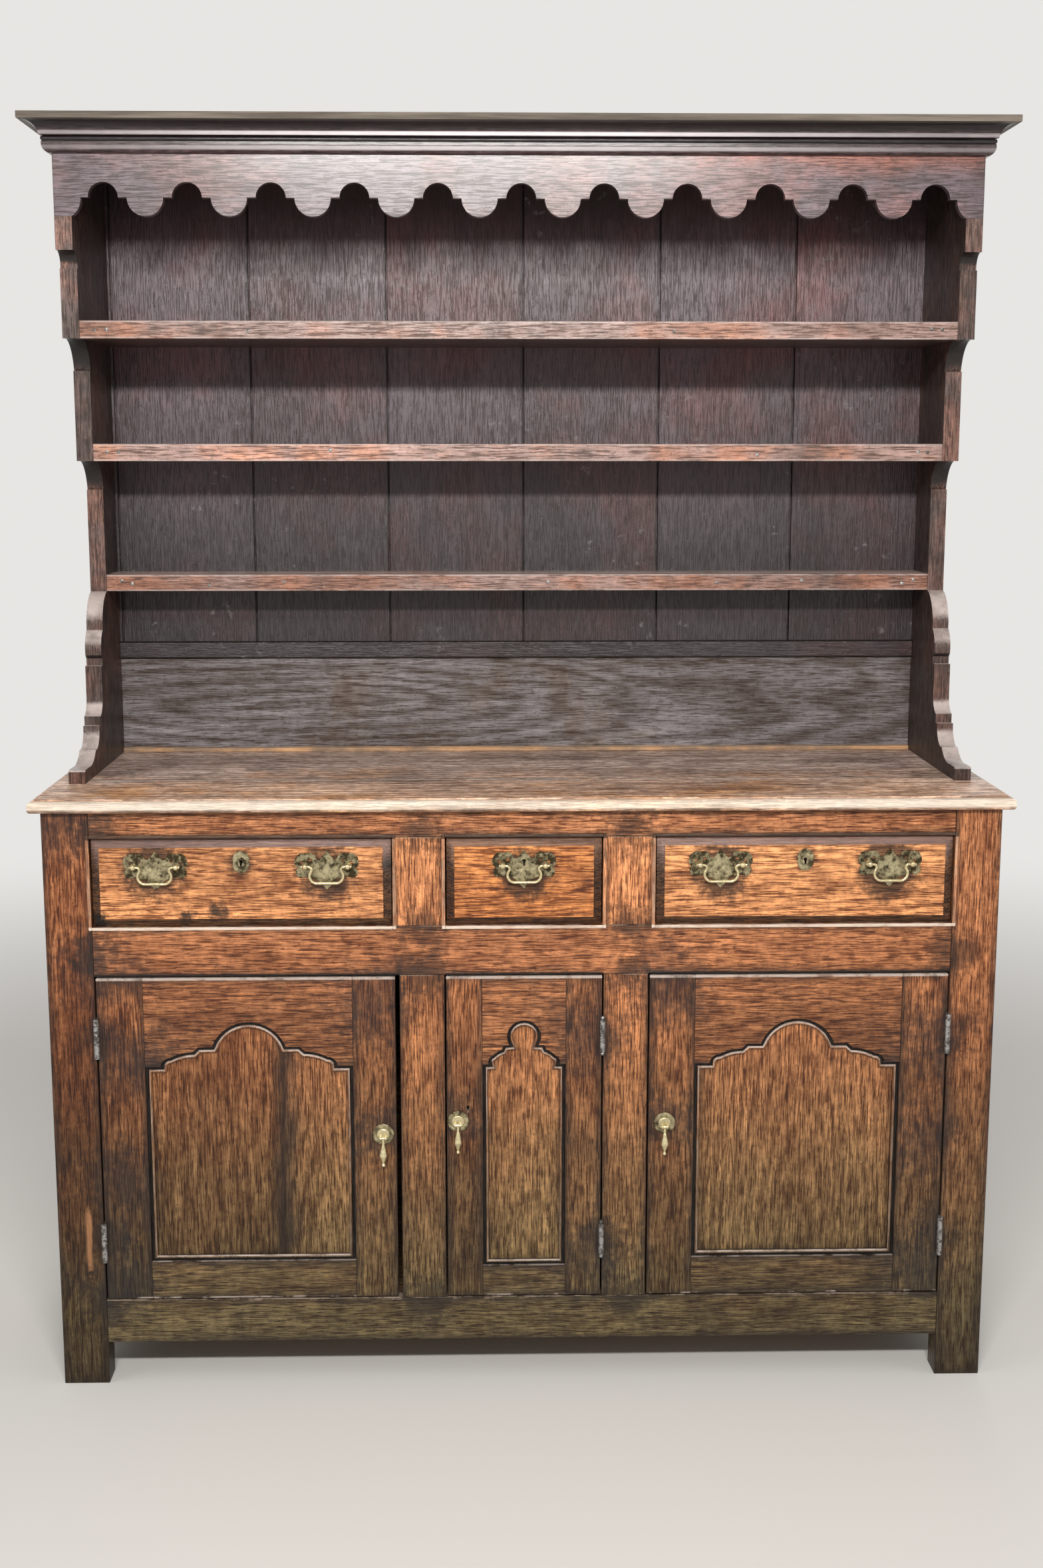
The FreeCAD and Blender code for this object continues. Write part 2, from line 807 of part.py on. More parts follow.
def build_top():
    """The two boards of the top, with a stepped and rounded edge along the front and the ends."""
    half = half_carcass + s.top_overhang_side
    joint = front + s.top_front_board_depth
    step = s.base_height - s.top_step_height
    low = carcass_top
    pieces = []
    rows = (("front", front, front + s.top_step_margin, joint), ("rear", joint, joint, back))
    for name, start, step_start, stop in rows:
        slab = board("top_%s_slab" % name, (-half, half), (start, stop), (low, step))
        field_half = half - s.top_step_margin
        field_across = (-field_half, field_half)
        field = board("top_%s_field" % name, field_across, (step_start, stop), (step, s.base_height))
        raw = join("top_%s_raw" % name, [slab, field])

        def on_rim(height):
            def test(middle, along):
                level = near(middle.z, height.value)
                end = near(abs(middle.x), half.value) and abs(along.y) > 0.9
                edge = near(middle.y, front.value) and abs(along.x) > 0.9
                return level and (end or edge)

            return test

        picks = ((on_rim(step), s.top_nose_radius), (on_rim(low), s.top_under_radius))
        pieces.append(round_edges("top_%s_board" % name, raw, picks))
    node("top_boards", group("top_boards", pieces))


def shelf_levels():
    """Name, top, setback of each shelf, from the upper one down."""
    clear = frieze_low - s.base_height
    return (
        ("upper_shelf", s.base_height + clear * UPPER_SHELF_SHARE, s.upper_setback),
        ("middle_shelf", s.base_height + clear * MIDDLE_SHELF_SHARE, s.middle_setback),
        ("lower_shelf", s.base_height + clear * LOWER_SHELF_SHARE, s.lower_setback),
    )


def side_outline():
    """The shaped front edge of a rack side, from its top down, and its straight back."""
    upper, middle, lower = shelf_levels()
    outline = Outline(back, side_top)
    outline.to(frieze_back, side_top)
    outline.to(frieze_back, frieze_low)
    outline.to(frieze_front, frieze_low)
    neck_high = frieze_low - s.neck_drop
    neck_low = neck_high - s.neck_height
    upper_front = face + s.upper_setback
    outline.to(frieze_front, neck_high)
    outline.to(frieze_front + s.neck_quirk, neck_high)
    outline.to(upper_front + s.neck_quirk, neck_low + s.neck_quirk, -QUARTER_BOW)
    outline.to(upper_front + s.neck_quirk, neck_low)
    outline.to(upper_front, neck_low)
    for (_, top, setback), (_, _, next_setback) in ((upper, middle), (middle, lower)):
        under = top - s.shelf_thickness
        low = under - s.scoop_height
        outline.to(face + setback, under)
        outline.to(face + setback + s.neck_quirk, under)
        outline.to(face + next_setback + s.neck_quirk, low, -QUARTER_BOW)
        outline.to(face + next_setback, low)
    under = lower[1] - s.shelf_thickness
    outline.to(face + lower[2], under)
    for forward, height, bow in FOOT_SHARES:
        deep = face + s.lower_setback - (s.lower_setback - s.toe_setback) * forward
        outline.to(deep, s.base_height + (under - s.base_height) * height, bow)
    outline.to(back, s.base_height)
    return outline.close()


def build_rack():
    boards = {}
    for name, top, setback in shelf_levels():
        reach = rack_inside + s.shelf_housing
        deep = (face + setback + s.shelf_recess, board_front)
        plain = board(name + "_board", (-reach, reach), deep, (top - s.shelf_thickness, top))
        boards[name] = plain
        groove_front = board_front - s.plate_groove_setback
        groove = board(
            name + "_plate_groove",
            (-rack_inside, rack_inside),
            (groove_front, groove_front + s.plate_groove_width),
            (top - s.plate_groove_depth, top + s.overrun),
        )
        node(name, cut(name, plain, [groove]))
    rebate_reach = rack_inside + s.rack_rebate
    rebate = board(
        "rack_rebate",
        (-rebate_reach, rebate_reach),
        (board_front, back),
        (s.base_height, side_top),
    )
    batten = board(
        "back_batten",
        (-rebate_reach, rebate_reach),
        (board_front, back),
        (batten_low, batten_high),
    )
    batten_face = board(
        "batten_face",
        (-rack_inside, rack_inside),
        (board_front - s.batten_proud, board_front),
        (batten_low, batten_high),
    )
    for side, sign in SIDES:
        body = new_body(side + "_side_board")
        pad(body, draw(body, "YZ_Plane", side_outline(), side + "_side_outline"), s.rack_side_thickness)
        place(body, -half_rack if sign < 0 else rack_inside)
        tools = list(boards.values()) + [rebate]
        node("rack_%s_side" % side, cut("rack_%s_side" % side, body, tools))
    reach = (-rebate_reach, rebate_reach)
    low_board = board("low_back_board", reach, (board_front, back), (s.base_height, batten_low))
    strip = board(
        "foot_strip",
        (-rack_inside, rack_inside),
        (board_front - s.foot_strip_depth, board_front),
        (s.base_height, s.base_height + s.foot_strip_height),
    )
    node("lower_backboard", group("lower_backboard", [low_board, strip]))
    pieces = [join("batten", [batten, batten_face])]
    filler_right = -rebate_reach + s.filler_width
    up = (batten_high, side_top)
    start = filler_right + s.board_gap
    pitch = (rebate_reach - start + s.board_gap) / BACKBOARD_COUNT
    spans = [(-rebate_reach, filler_right)]
    for number in range(BACKBOARD_COUNT):
        left = start + pitch * number
        spans.append((left, left + pitch - s.board_gap))
    lap_plane = (board_front + back) / 2
    for number, (left, right) in enumerate(spans):
        lap_left = left if number == 0 else left - s.board_lap
        lap_right = right if number == BACKBOARD_COUNT else right - s.board_lap
        shown = board("back_board_%d_front" % number, (left, right), (board_front, lap_plane), up)
        lapped = board("back_board_%d_lap" % number, (lap_left, lap_right), (lap_plane, back), up)
        pieces.append(join("back_board_%d" % number, [shown, lapped]))
    node("rack_backboards", group("rack_backboards", pieces))
    roof_deep = (frieze_front, back)
    node("rack_roof", board("rack_roof", (-half_rack, half_rack), roof_deep, (side_top, roof_high)))


def build_frieze():
    """The frieze, with as many arches along its lower edge as its width takes."""
    count = round(half_rack.value * 2 / s.frieze_pitch.value)
    low = frieze_low - s.frieze_trim
    shoulder = frieze_low + s.frieze_lobe_radius
    body = new_body("frieze")
    row_end = s.frieze_pitch * (count / 2)
    plain = Outline(-half_rack, frieze_low).to(-row_end, frieze_low).to(-row_end, low)
    plain.to(row_end, low).to(row_end, frieze_low).to(half_rack, frieze_low)
    plain.to(half_rack, side_top).to(-half_rack, side_top).close()
    pad(body, draw(body, "XZ_Plane", plain, "frieze_blank"), s.frieze_thickness, back=True)
    middle = s.frieze_pitch * ((1 - count) / 2)
    left, right = middle - s.frieze_pitch / 2, middle + s.frieze_pitch / 2
    bay = Outline(left, low - s.overrun)
    bay.to(right, low - s.overrun)
    bay.to(right, frieze_low)
    bay.to(right - s.frieze_lobe_radius, shoulder, -QUARTER_BOW)
    bay.to(middle + s.frieze_arch_radius, shoulder)
    bay.to(middle - s.frieze_arch_radius, shoulder, 1.0)
    bay.to(left + s.frieze_lobe_radius, shoulder)
    bay.to(left, frieze_low, -QUARTER_BOW)
    sketch = draw(body, "XZ_Plane", bay.close(), "frieze_arch")
    arch = pocket(body, sketch)
    row = body.newObject("PartDesign::LinearPattern", "frieze_arches")
    row.Originals = [arch]
    row.Direction = (sketch, ["H_Axis"])
    bind(row, Length=s.frieze_pitch * (count - 1))
    row.Occurrences = count
    body.Tip = row
    for side, sign in SIDES:
        end = Outline(half_rack * sign, frieze_low).to(half_rack * sign, shoulder)
        end.to((row_end - s.frieze_lobe_radius - s.overrun) * sign, shoulder)
        end.to(rack_inside * sign, frieze_low, FRIEZE_END_BOW_SHARE * sign)
        sketch = draw(body, "XZ_Plane", end.close(), "frieze_end_" + side)
        pad(body, sketch, s.frieze_thickness, back=True)
    node("frieze_board", place(body, deep=frieze_front))


def cornice_section(face_place, sign):
    """Section of the cornice against a face, going out in the direction of the sign."""
    outline = Outline(face_place, cornice_low)
    for out, height, bow in CORNICE_SHARES:
        across = face_place + s.cornice_projection * out * sign
        outline.to(across, cornice_low + s.cornice_height * height, bow * sign)
    outline.to(face_place, rack_top)
    return outline.close()


def build_cornice():
    """The cornice along the front and its two returns, mitred at the corners."""
    pieces = []
    corner = half_rack + s.cornice_projection
    tip = frieze_front - s.cornice_projection
    body = new_body("cornice_front")
    section = draw(body, "YZ_Plane", cornice_section(frieze_front, -1), "cornice_front_section")
    feature = pad(body, section, corner * 2)
    feature.SideType = "Symmetric"
    for side, sign in SIDES:
        mitre = Outline(half_rack * sign, frieze_front)
        mitre.to((corner + s.overrun) * sign, tip - s.overrun)
        mitre.to((corner + s.overrun) * sign, frieze_front)
        pocket(body, draw(body, "XY_Plane", mitre.close(), "cornice_front_mitre_" + side))
    pieces.append(body)
    for side, sign in SIDES:
        body = new_body("cornice_" + side)
        outline = cornice_section(half_rack * sign, sign)
        section = draw(body, "XZ_Plane", outline, "cornice_%s_section" % side)
        pad(body, section, back - tip, back=True)
        mitre = Outline(half_rack * sign, s.cornice_projection)
        mitre.to((corner + s.overrun) * sign, -s.overrun)
        mitre.to(half_rack * sign, -s.overrun)
        pocket(body, draw(body, "XY_Plane", mitre.close(), "cornice_%s_mitre" % side))
        pieces.append(place(body, deep=tip))
    node("cornice", group("cornice", pieces))


def keyhole(name, across, deep, up):
    """A keyhole through everything between two depths."""
    length = deep[1] - deep[0]
    eye = rod(name + "_eye", "y", across, deep[0], up, s.keyhole_radius, length)
    half = s.keyhole_slot_width / 2
    slot = board(name + "_slot", (across - half, across + half), deep, (up - s.keyhole_slot_length, up))
    return join(name, [eye, slot])


def lock_case(name, across, deep, high):
    """An iron lock case with its plate, screwed on behind a keyhole."""
    half = s.lock_width / 2
    low = high - s.lock_height
    plate_deep = (deep, deep + s.lock_plate_thickness)
    plate = board(name + "_plate", (across - half, across + half), plate_deep, (low, high))
    inner = half - s.lock_plate_lip
    case_deep = (plate_deep[1], deep + s.lock_depth)
    up = (low + s.lock_plate_lip, high - s.lock_plate_lip)
    case = board(name + "_case", (across - inner, across + inner), case_deep, up)
    return join(name, [plate, case])


def plate_outline(across, up):
    """A batwing plate about its middle."""
    half_width, half_height = s.plate_width / 2, s.plate_height / 2
    outline = Outline(across, up + half_height)
    for wide, high, bow in PLATE_SHARES:
        outline.to(across + half_width * wide, up + half_height * high, bow)
    outline.to(across, up - half_height)
    mirrored = list(reversed(PLATE_SHARES))
    bows = [0.0] + [bow for _, _, bow in mirrored]
    for (wide, high, _), bow in zip(mirrored, bows):
        outline.to(across - half_width * wide, up + half_height * high, bow)
    return outline.close(bows[-1])


def brass_plate(name, across, up, cutters):
    body = new_body(name)
    centre = up - s.plate_drop
    pad(body, draw(body, "XZ_Plane", plate_outline(across, centre), name + "_outline"), s.plate_thickness)
    holes = list(cutters)
    for sign in (-1, 1):
        for number, (wide, high) in enumerate(PIERCING_SHARES):
            hole_across = across + s.plate_width / 2 * wide * sign
            hole_up = centre + s.plate_height / 2 * high
            start = -s.plate_thickness - s.overrun
            hole_name = "%s_piercing_%d_%d" % (name, number, sign + 1)
            length = s.plate_thickness + s.overrun * 2
            holes.append(
                rod(hole_name, "y", hole_across, face + start, hole_up, s.piercing_radius, length)
            )
    place(body, deep=face)
    return cut(name + "_pierced", body, holes)


def handle(name, across, up):
    """Plate, two posts and swan-neck bail of a drawer handle, with the cutters for the posts."""
    posts, cutters = [], []
    axis = face - s.plate_thickness - s.post_standoff
    for side, sign in SIDES:
        post_across = across + s.post_spacing / 2 * sign
        post_name = "%s_%s_post" % (name, side)
        start = face - s.plate_thickness
        shank_length = s.drawer_front_thickness + s.plate_thickness
        shank = rod(post_name + "_shank", "y", post_across, start, up, s.post_shank_radius, shank_length)
        stem = rod(post_name + "_stem", "y", post_across, axis, up, s.post_shank_radius, start - axis)
        collar = rod(
            post_name + "_collar",
            "y",
            post_across,
            start - s.post_collar_thickness,
            up,
            s.post_collar_radius,
            s.post_collar_thickness,
        )
        head = ball(post_name + "_head", post_across, axis, up, s.post_head_radius)
        whole = join(post_name + "_solid", [shank, stem, collar, head])
        bore_start = post_across - s.post_head_radius - s.overrun
        bore_radius = s.bail_radius + s.pivot_fit
        bore_length = (s.post_head_radius + s.overrun) * 2
        bore = rod(post_name + "_bore", "x", bore_start, axis, up, bore_radius, bore_length)
        posts.append(cut(post_name, whole, [bore]))
        clear_start = face - s.plate_thickness - s.overrun
        clear_length = shank_length + s.overrun * 2
        clear_radius = s.post_shank_radius + s.shank_fit
        cutters.append(rod(post_name + "_hole", "y", post_across, clear_start, up, clear_radius, clear_length))
    return posts, cutters, bail(name + "_bail", across, axis, up)


def bail(name, across, axis, up):
    """Round brass wire: a pin in each post, a crook inwards, a flare outwards and a flat belly."""
    post = s.post_spacing / 2
    tail = post + s.bail_pin_tail
    neck = post - s.bail_pin_tail
    crook, flare, belly = s.bail_crook_radius, s.bail_flare_radius, s.bail_belly_radius
    slope, level = math.sin(FLARE_ANGLE), math.cos(FLARE_ANGLE)
    flare_across = neck - crook + flare * (1 - level)
    flare_up = -crook - flare * slope
    belly_across = flare_across - belly * level
    belly_up = flare_up - belly * slope - belly
    crook_bow, flare_bow = QUARTER_BOW, math.tan(FLARE_ANGLE / 4)
    belly_bow = math.tan((math.pi / 2 + FLARE_ANGLE) / 4)
    path = Outline(tail, ZERO)
    path.to(neck, ZERO)
    path.to(neck - crook, -crook, crook_bow)
    path.to(flare_across, flare_up, flare_bow)
    path.to(belly_across, belly_up, -belly_bow)
    path.to(-belly_across, belly_up)
    path.to(-flare_across, flare_up, -belly_bow)
    path.to(crook - neck, -crook, flare_bow)
    path.to(-neck, ZERO, crook_bow)
    path.to(-tail, ZERO)
    body = new_body(name)
    spine = draw(body, "XZ_Plane", path, name + "_path", closed=False)
    ring = body.newObject("Sketcher::SketchObject", name + "_section")
    plane = [feature for feature in body.Origin.OriginFeatures if feature.Role == "YZ_Plane"][0]
    ring.AttachmentSupport = [(plane, "")]
    ring.MapMode = "FlatFace"
    ring.setExpression("AttachmentOffset.Base.z", tail.text)
    ring.addGeometry(Part.Circle(Vector(), Vector(0, 0, 1), s.bail_radius.value), False)
    ring.addConstraint(Sketcher.Constraint("Coincident", 0, 3, -1, 1))
    ring.addConstraint(Sketcher.Constraint("Radius", 0, s.bail_radius.value))
    ring.setExpression("Constraints[1]", s.bail_radius.text)
    wire = body.newObject("PartDesign::AdditivePipe", name + "_wire")
    wire.Profile = ring
    wire.Spine = (spine, [])
    return place(body, across, axis, up)


def escutcheon(name, across, up):
    """An oval brass plate round a keyhole."""
    half_width, half_height = s.escutcheon_width / 2, s.escutcheon_height / 2
    straight = half_height - half_width
    body = new_body(name)
    outline = Outline(across + half_width, up - straight)
    outline.to(across + half_width, up + straight)
    outline.to(across - half_width, up + straight, 1.0)
    outline.to(across - half_width, up - straight)
    outline.close(1.0)
    pad(body, draw(body, "XZ_Plane", outline, name + "_outline"), s.escutcheon_thickness)
    return place(body, deep=face)


def dovetails(name, across, deep, low, high):
    """Tails of a drawer side, which widen towards the drawer's front."""
    pieces = []
    pitch = (high - low) / DRAWER_TAILS
    for number in range(DRAWER_TAILS):
        middle = low + pitch * (number + 0.5)
        wide = (middle - s.dovetail_end / 2, middle + s.dovetail_end / 2)
        root = (middle - s.dovetail_root / 2, middle + s.dovetail_root / 2)
        pieces.append(wedge("%s_tail_%d" % (name, number), across, deep, wide, across, root))
    return pieces


def build_drawer(name, opening):
    """Front, box, brass and lock of one drawer, and its bails."""
    left, right = opening[0] + s.drawer_gap, opening[1] - s.drawer_gap
    middle = (opening[0] + opening[1]) / 2
    low = drawer_low + s.drawer_rest_gap
    high = top_rail_low - s.drawer_gap
    front_back = face + s.drawer_front_thickness
    bevel_start = face + s.drawer_field_step
    bevel_stop = bevel_start + s.drawer_bevel_depth
    field = (left + s.drawer_bevel_width, right - s.drawer_bevel_width)
    field_up = (low + s.drawer_bevel_width, high - s.drawer_bevel_width)
    slab = board(name + "_front_slab", (left, right), (bevel_stop, front_back), (low, high))
    bevel = wedge(name + "_front_bevel", field, (bevel_start, bevel_stop), field_up, (left, right), (low, high))
    raised = board(name + "_front_field", field, (face, bevel_start), field_up)
    front_whole = join(name + "_front_whole", [slab, bevel, raised])

    side_low, side_high = low, low + s.drawer_side_height
    rear = post_front - s.drawer_rear_gap
    bottom_low = low + s.drawer_bottom_lift
    bottom_high = bottom_low + s.drawer_bottom_thickness
    inner_left = left + s.drawer_side_inset + s.drawer_side_thickness
    inner_right = right - s.drawer_side_inset - s.drawer_side_thickness
    bottom = board(
        name + "_bottom",
        (inner_left - s.drawer_bottom_groove, inner_right + s.drawer_bottom_groove),
        (front_back - s.drawer_bottom_groove, rear),
        (bottom_low, bottom_high),
    )
    pieces, tails = [bottom], []
    for side, inner, outer in (
        ("left", inner_left, left + s.drawer_side_inset),
        ("right", inner_right, right - s.drawer_side_inset),
    ):
        side_name = "%s_%s_side" % (name, side)
        across = in_order((inner, outer))
        plain = board(side_name + "_board", across, (front_back, rear), (side_low, side_high))
        deep = (front_back - s.dovetail_length, front_back)
        ends = dovetails(side_name, across, deep, bottom_high, side_high)
        tails += ends
        pieces.append(cut(side_name, join(side_name + "_tailed", [plain] + ends), [bottom]))
    back_deep = (rear - s.drawer_side_thickness, rear)
    pieces.append(board(name + "_back", (inner_left, inner_right), back_deep, (bottom_high, side_high)))

    handle_up = drawer_low + s.handle_height
    single = name.startswith("middle")
    pair = {"_left": opening[0] + s.handle_inset, "_right": opening[1] - s.handle_inset}
    centres = {"": middle} if single else pair
    key_up = drawer_low + s.escutcheon_height_up
    key_deep = (face - s.plate_thickness - s.overrun, front_back + s.lock_plate_thickness)
    key = keyhole(name + "_keyhole", middle, key_deep, key_up)
    brass, front_cutters, bails = [], tails + [bottom, key], []
    for label, across in centres.items():
        posts, holes, wire = handle(name + label, across, handle_up)
        cutters = holes + [key] if single else holes
        brass.append(brass_plate(name + label + "_plate", across, handle_up, cutters))
        brass += posts
        front_cutters += holes
        bails.append(node(name + label + "_bail", wire))
    if not single:
        oval = escutcheon(name + "_escutcheon", middle, key_up)
        brass.append(cut(name + "_escutcheon_cut", oval, [key]))
    lock_high = key_up + s.lock_height / 2
    lock = lock_case(name + "_lock_case", middle, front_back, lock_high)
    node(name + "_front", cut(name + "_front", front_whole, front_cutters))
    node(name + "_box", group(name + "_box", pieces))
    node(name + "_brass", group(name + "_brass", brass))
    node(name + "_lock", cut(name + "_lock", lock, [key]))


def arch_points(middle, half_width, shoulder, rise):
    """The arched head from right to left: places and bows."""
    right = []
    for wide, high, bow in ARCH_SHARES:
        right.append((half_width * wide, shoulder + rise * high, bow))
    points = [(middle + across, up) for across, up, _ in reversed(right)]
    bows = [bow for _, _, bow in reversed(right)][:-1]
    crown = rise * (1 - ARCH_SHARES[0][1]) / (half_width * ARCH_SHARES[0][0])
    left = [(middle - across, up) for across, up, _ in right]
    return points + left, bows + [crown] + list(reversed(bows))


def door_rail_outline(left, right, shoulder, high):
    """The top rail of a door, with its arched lower edge."""
    middle, half_width = (left + right) / 2, (right - left) / 2
    points, bows = arch_points(middle, half_width, shoulder, s.door_arch_rise)
    outline = Outline(left, high)
    outline.to(left, shoulder)
    for (across, up), bow in list(zip(reversed(points), [0.0] + [-bow for bow in reversed(bows)]))[1:]:
        outline.to(across, up, bow)
    outline.to(right, high)
    return outline.close()


def door_panel_outline(left, right, low, shoulder):
    """A panel with an arched head, as large as the grooves that hold it."""
    middle, half_width = (left + right) / 2, (right - left) / 2
    tongue = s.groove_depth
    wide = half_width + tongue
    points, bows = arch_points(middle, wide, shoulder + tongue, s.door_arch_rise)
    outline = Outline(middle - wide, low - tongue).to(middle + wide, low - tongue)
    for (across, up), bow in zip(points, [0.0] + bows):
        outline.to(across, up, bow)
    return outline.close()


def hinge(name, edge, sign, middle, length, finials):
    """Both leaves and the pin of a butt hinge on one edge of a door opening, with or without finials."""
    axis_across = edge + s.door_gap / 2 * sign
    axis_deep = face - s.hinge_standoff
    low, high = middle - length / 2, middle + length / 2
    third = length / 3
    gap = s.hinge_knuckle_gap / 2
    frame_across = (edge, edge + s.hinge_leaf_thickness * sign)
    door_edge = edge + s.door_gap * sign
    door_across = (door_edge, door_edge - s.hinge_leaf_thickness * sign)
    spans = {
        "frame": (frame_across, ((low, low + third - gap), (high - third + gap, high))),
        "door": (door_across, ((low + third + gap, high - third - gap),)),
    }
    leaves = {}
    for kind, (across, knuckles) in spans.items():
        plate = board("%s_%s_leaf" % (name, kind), across, (face, face + s.hinge_leaf_width), (low, high))
        pieces = [plate]
        for number, (start, stop) in enumerate(knuckles):
            part = "%s_%s_%d" % (name, kind, number)
            pieces.append(board(part + "_tongue", across, (axis_deep, face), (start, stop)))
            radius = s.hinge_barrel_radius
            pieces.append(rod(part + "_barrel", "z", axis_across, axis_deep, start, radius, stop - start))
        bore_start = low - s.overrun
        bore_radius = s.hinge_pin_radius + s.pivot_fit
        bore_length = length + s.overrun * 2
        bore = rod("%s_%s_bore" % (name, kind), "z", axis_across, axis_deep, bore_start, bore_radius, bore_length)
        leaves[kind] = cut("%s_%s" % (name, kind), join("%s_%s_solid" % (name, kind), pieces), [bore])
    pin = rod(name + "_pin", "z", axis_across, axis_deep, low, s.hinge_pin_radius, length)
    if finials:
        radius = s.hinge_finial_radius
        stem = rod(
            name + "_pin_stem",
            "z",
            axis_across,
            axis_deep,
            low - radius,
            s.hinge_pin_radius,
            length + radius * 2,
        )
        top = ball(name + "_top_finial", axis_across, axis_deep, high + radius, radius)
        foot = ball(name + "_low_finial", axis_across, axis_deep, low - radius, radius)
        pin = join(name + "_finial_pin", [stem, top, foot])
    return leaves["frame"], leaves["door"], pin


def drop_pull(name, across, up):
    """A turned rose with two lugs and a pin, and the pear drop that hangs on it."""
    pivot_up = up - s.pull_pivot_drop
    pivot_deep = face - s.pull_pivot_standoff
    body = new_body(name + "_disc")
    dome = face - s.rose_thickness - s.rose_dome_height
    outline = Outline(ZERO, face)
    outline.to(s.rose_radius, face)
    rim = s.rose_thickness / 2
    outline.to(s.rose_radius, face - rim)
    outline.to(s.rose_radius - rim, face - s.rose_thickness, -QUARTER_BOW)
    outline.to(s.rose_dome_radius, face - s.rose_thickness)
    outline.to(s.rose_dome_radius - s.rose_dome_height, dome, -QUARTER_BOW)
    outline.to(ZERO, dome)
    revolve(body, draw(body, "XY_Plane", outline.close(), name + "_disc_section"))
    place(body, across, up=up)
    pieces = [body]
    lug_inner = s.pull_eye_length / 2 + s.pull_lug_gap
    lug_outer = lug_inner + s.pull_lug_thickness
    for side, sign in SIDES:
        lug_across = in_order((across + lug_inner * sign, across + lug_outer * sign))
        deep = (pivot_deep, face - s.rose_thickness / 2)
        lug_up = (pivot_up - s.pull_eye_radius, pivot_up + s.pull_eye_radius)
        pieces.append(board("%s_%s_lug" % (name, side), lug_across, deep, lug_up))
        start = lug_across[0]
        thickness = s.pull_lug_thickness
        tip = "%s_%s_tip" % (name, side)
        pieces.append(rod(tip, "x", start, pivot_deep, pivot_up, s.pull_eye_radius, thickness))
    pin_start = across - lug_outer
    pieces.append(rod(name + "_pin", "x", pin_start, pivot_deep, pivot_up, s.pull_pin_radius, lug_outer * 2))
    rose = join(name + "_rose", pieces)

    drop_body = new_body(name + "_pear")
    section = Outline(ZERO, ZERO)
    for wide, below in DROP_SHARES:
        section.to(s.drop_radius * wide, s.drop_length * -below)
    revolve(drop_body, draw(drop_body, "XZ_Plane", section.close(), name + "_pear_section"))
    place(drop_body, across, pivot_deep, pivot_up)
    eye_start = across - s.pull_eye_length / 2
    eye = rod(name + "_eye", "x", eye_start, pivot_deep, pivot_up, s.pull_eye_radius, s.pull_eye_length)
    bore_radius = s.pull_pin_radius + s.pivot_fit
    bore_start = eye_start - s.overrun
    bore_length = s.pull_eye_length + s.overrun * 2
    bore = rod(name + "_eye_bore", "x", bore_start, pivot_deep, pivot_up, bore_radius, bore_length)
    belly_up = pivot_up - s.drop_length * DROP_BELLY_SHARE
    belly = ball(name + "_belly", across, pivot_deep, belly_up, s.drop_radius)
    tip_radius = s.drop_radius * DROP_TIP_SHARE
    tip = ball(name + "_tip", across, pivot_deep, pivot_up - s.drop_length + tip_radius, tip_radius)
    return rose, cut(name + "_drop", join(name + "_drop_solid", [drop_body, eye, belly, tip]), [bore])


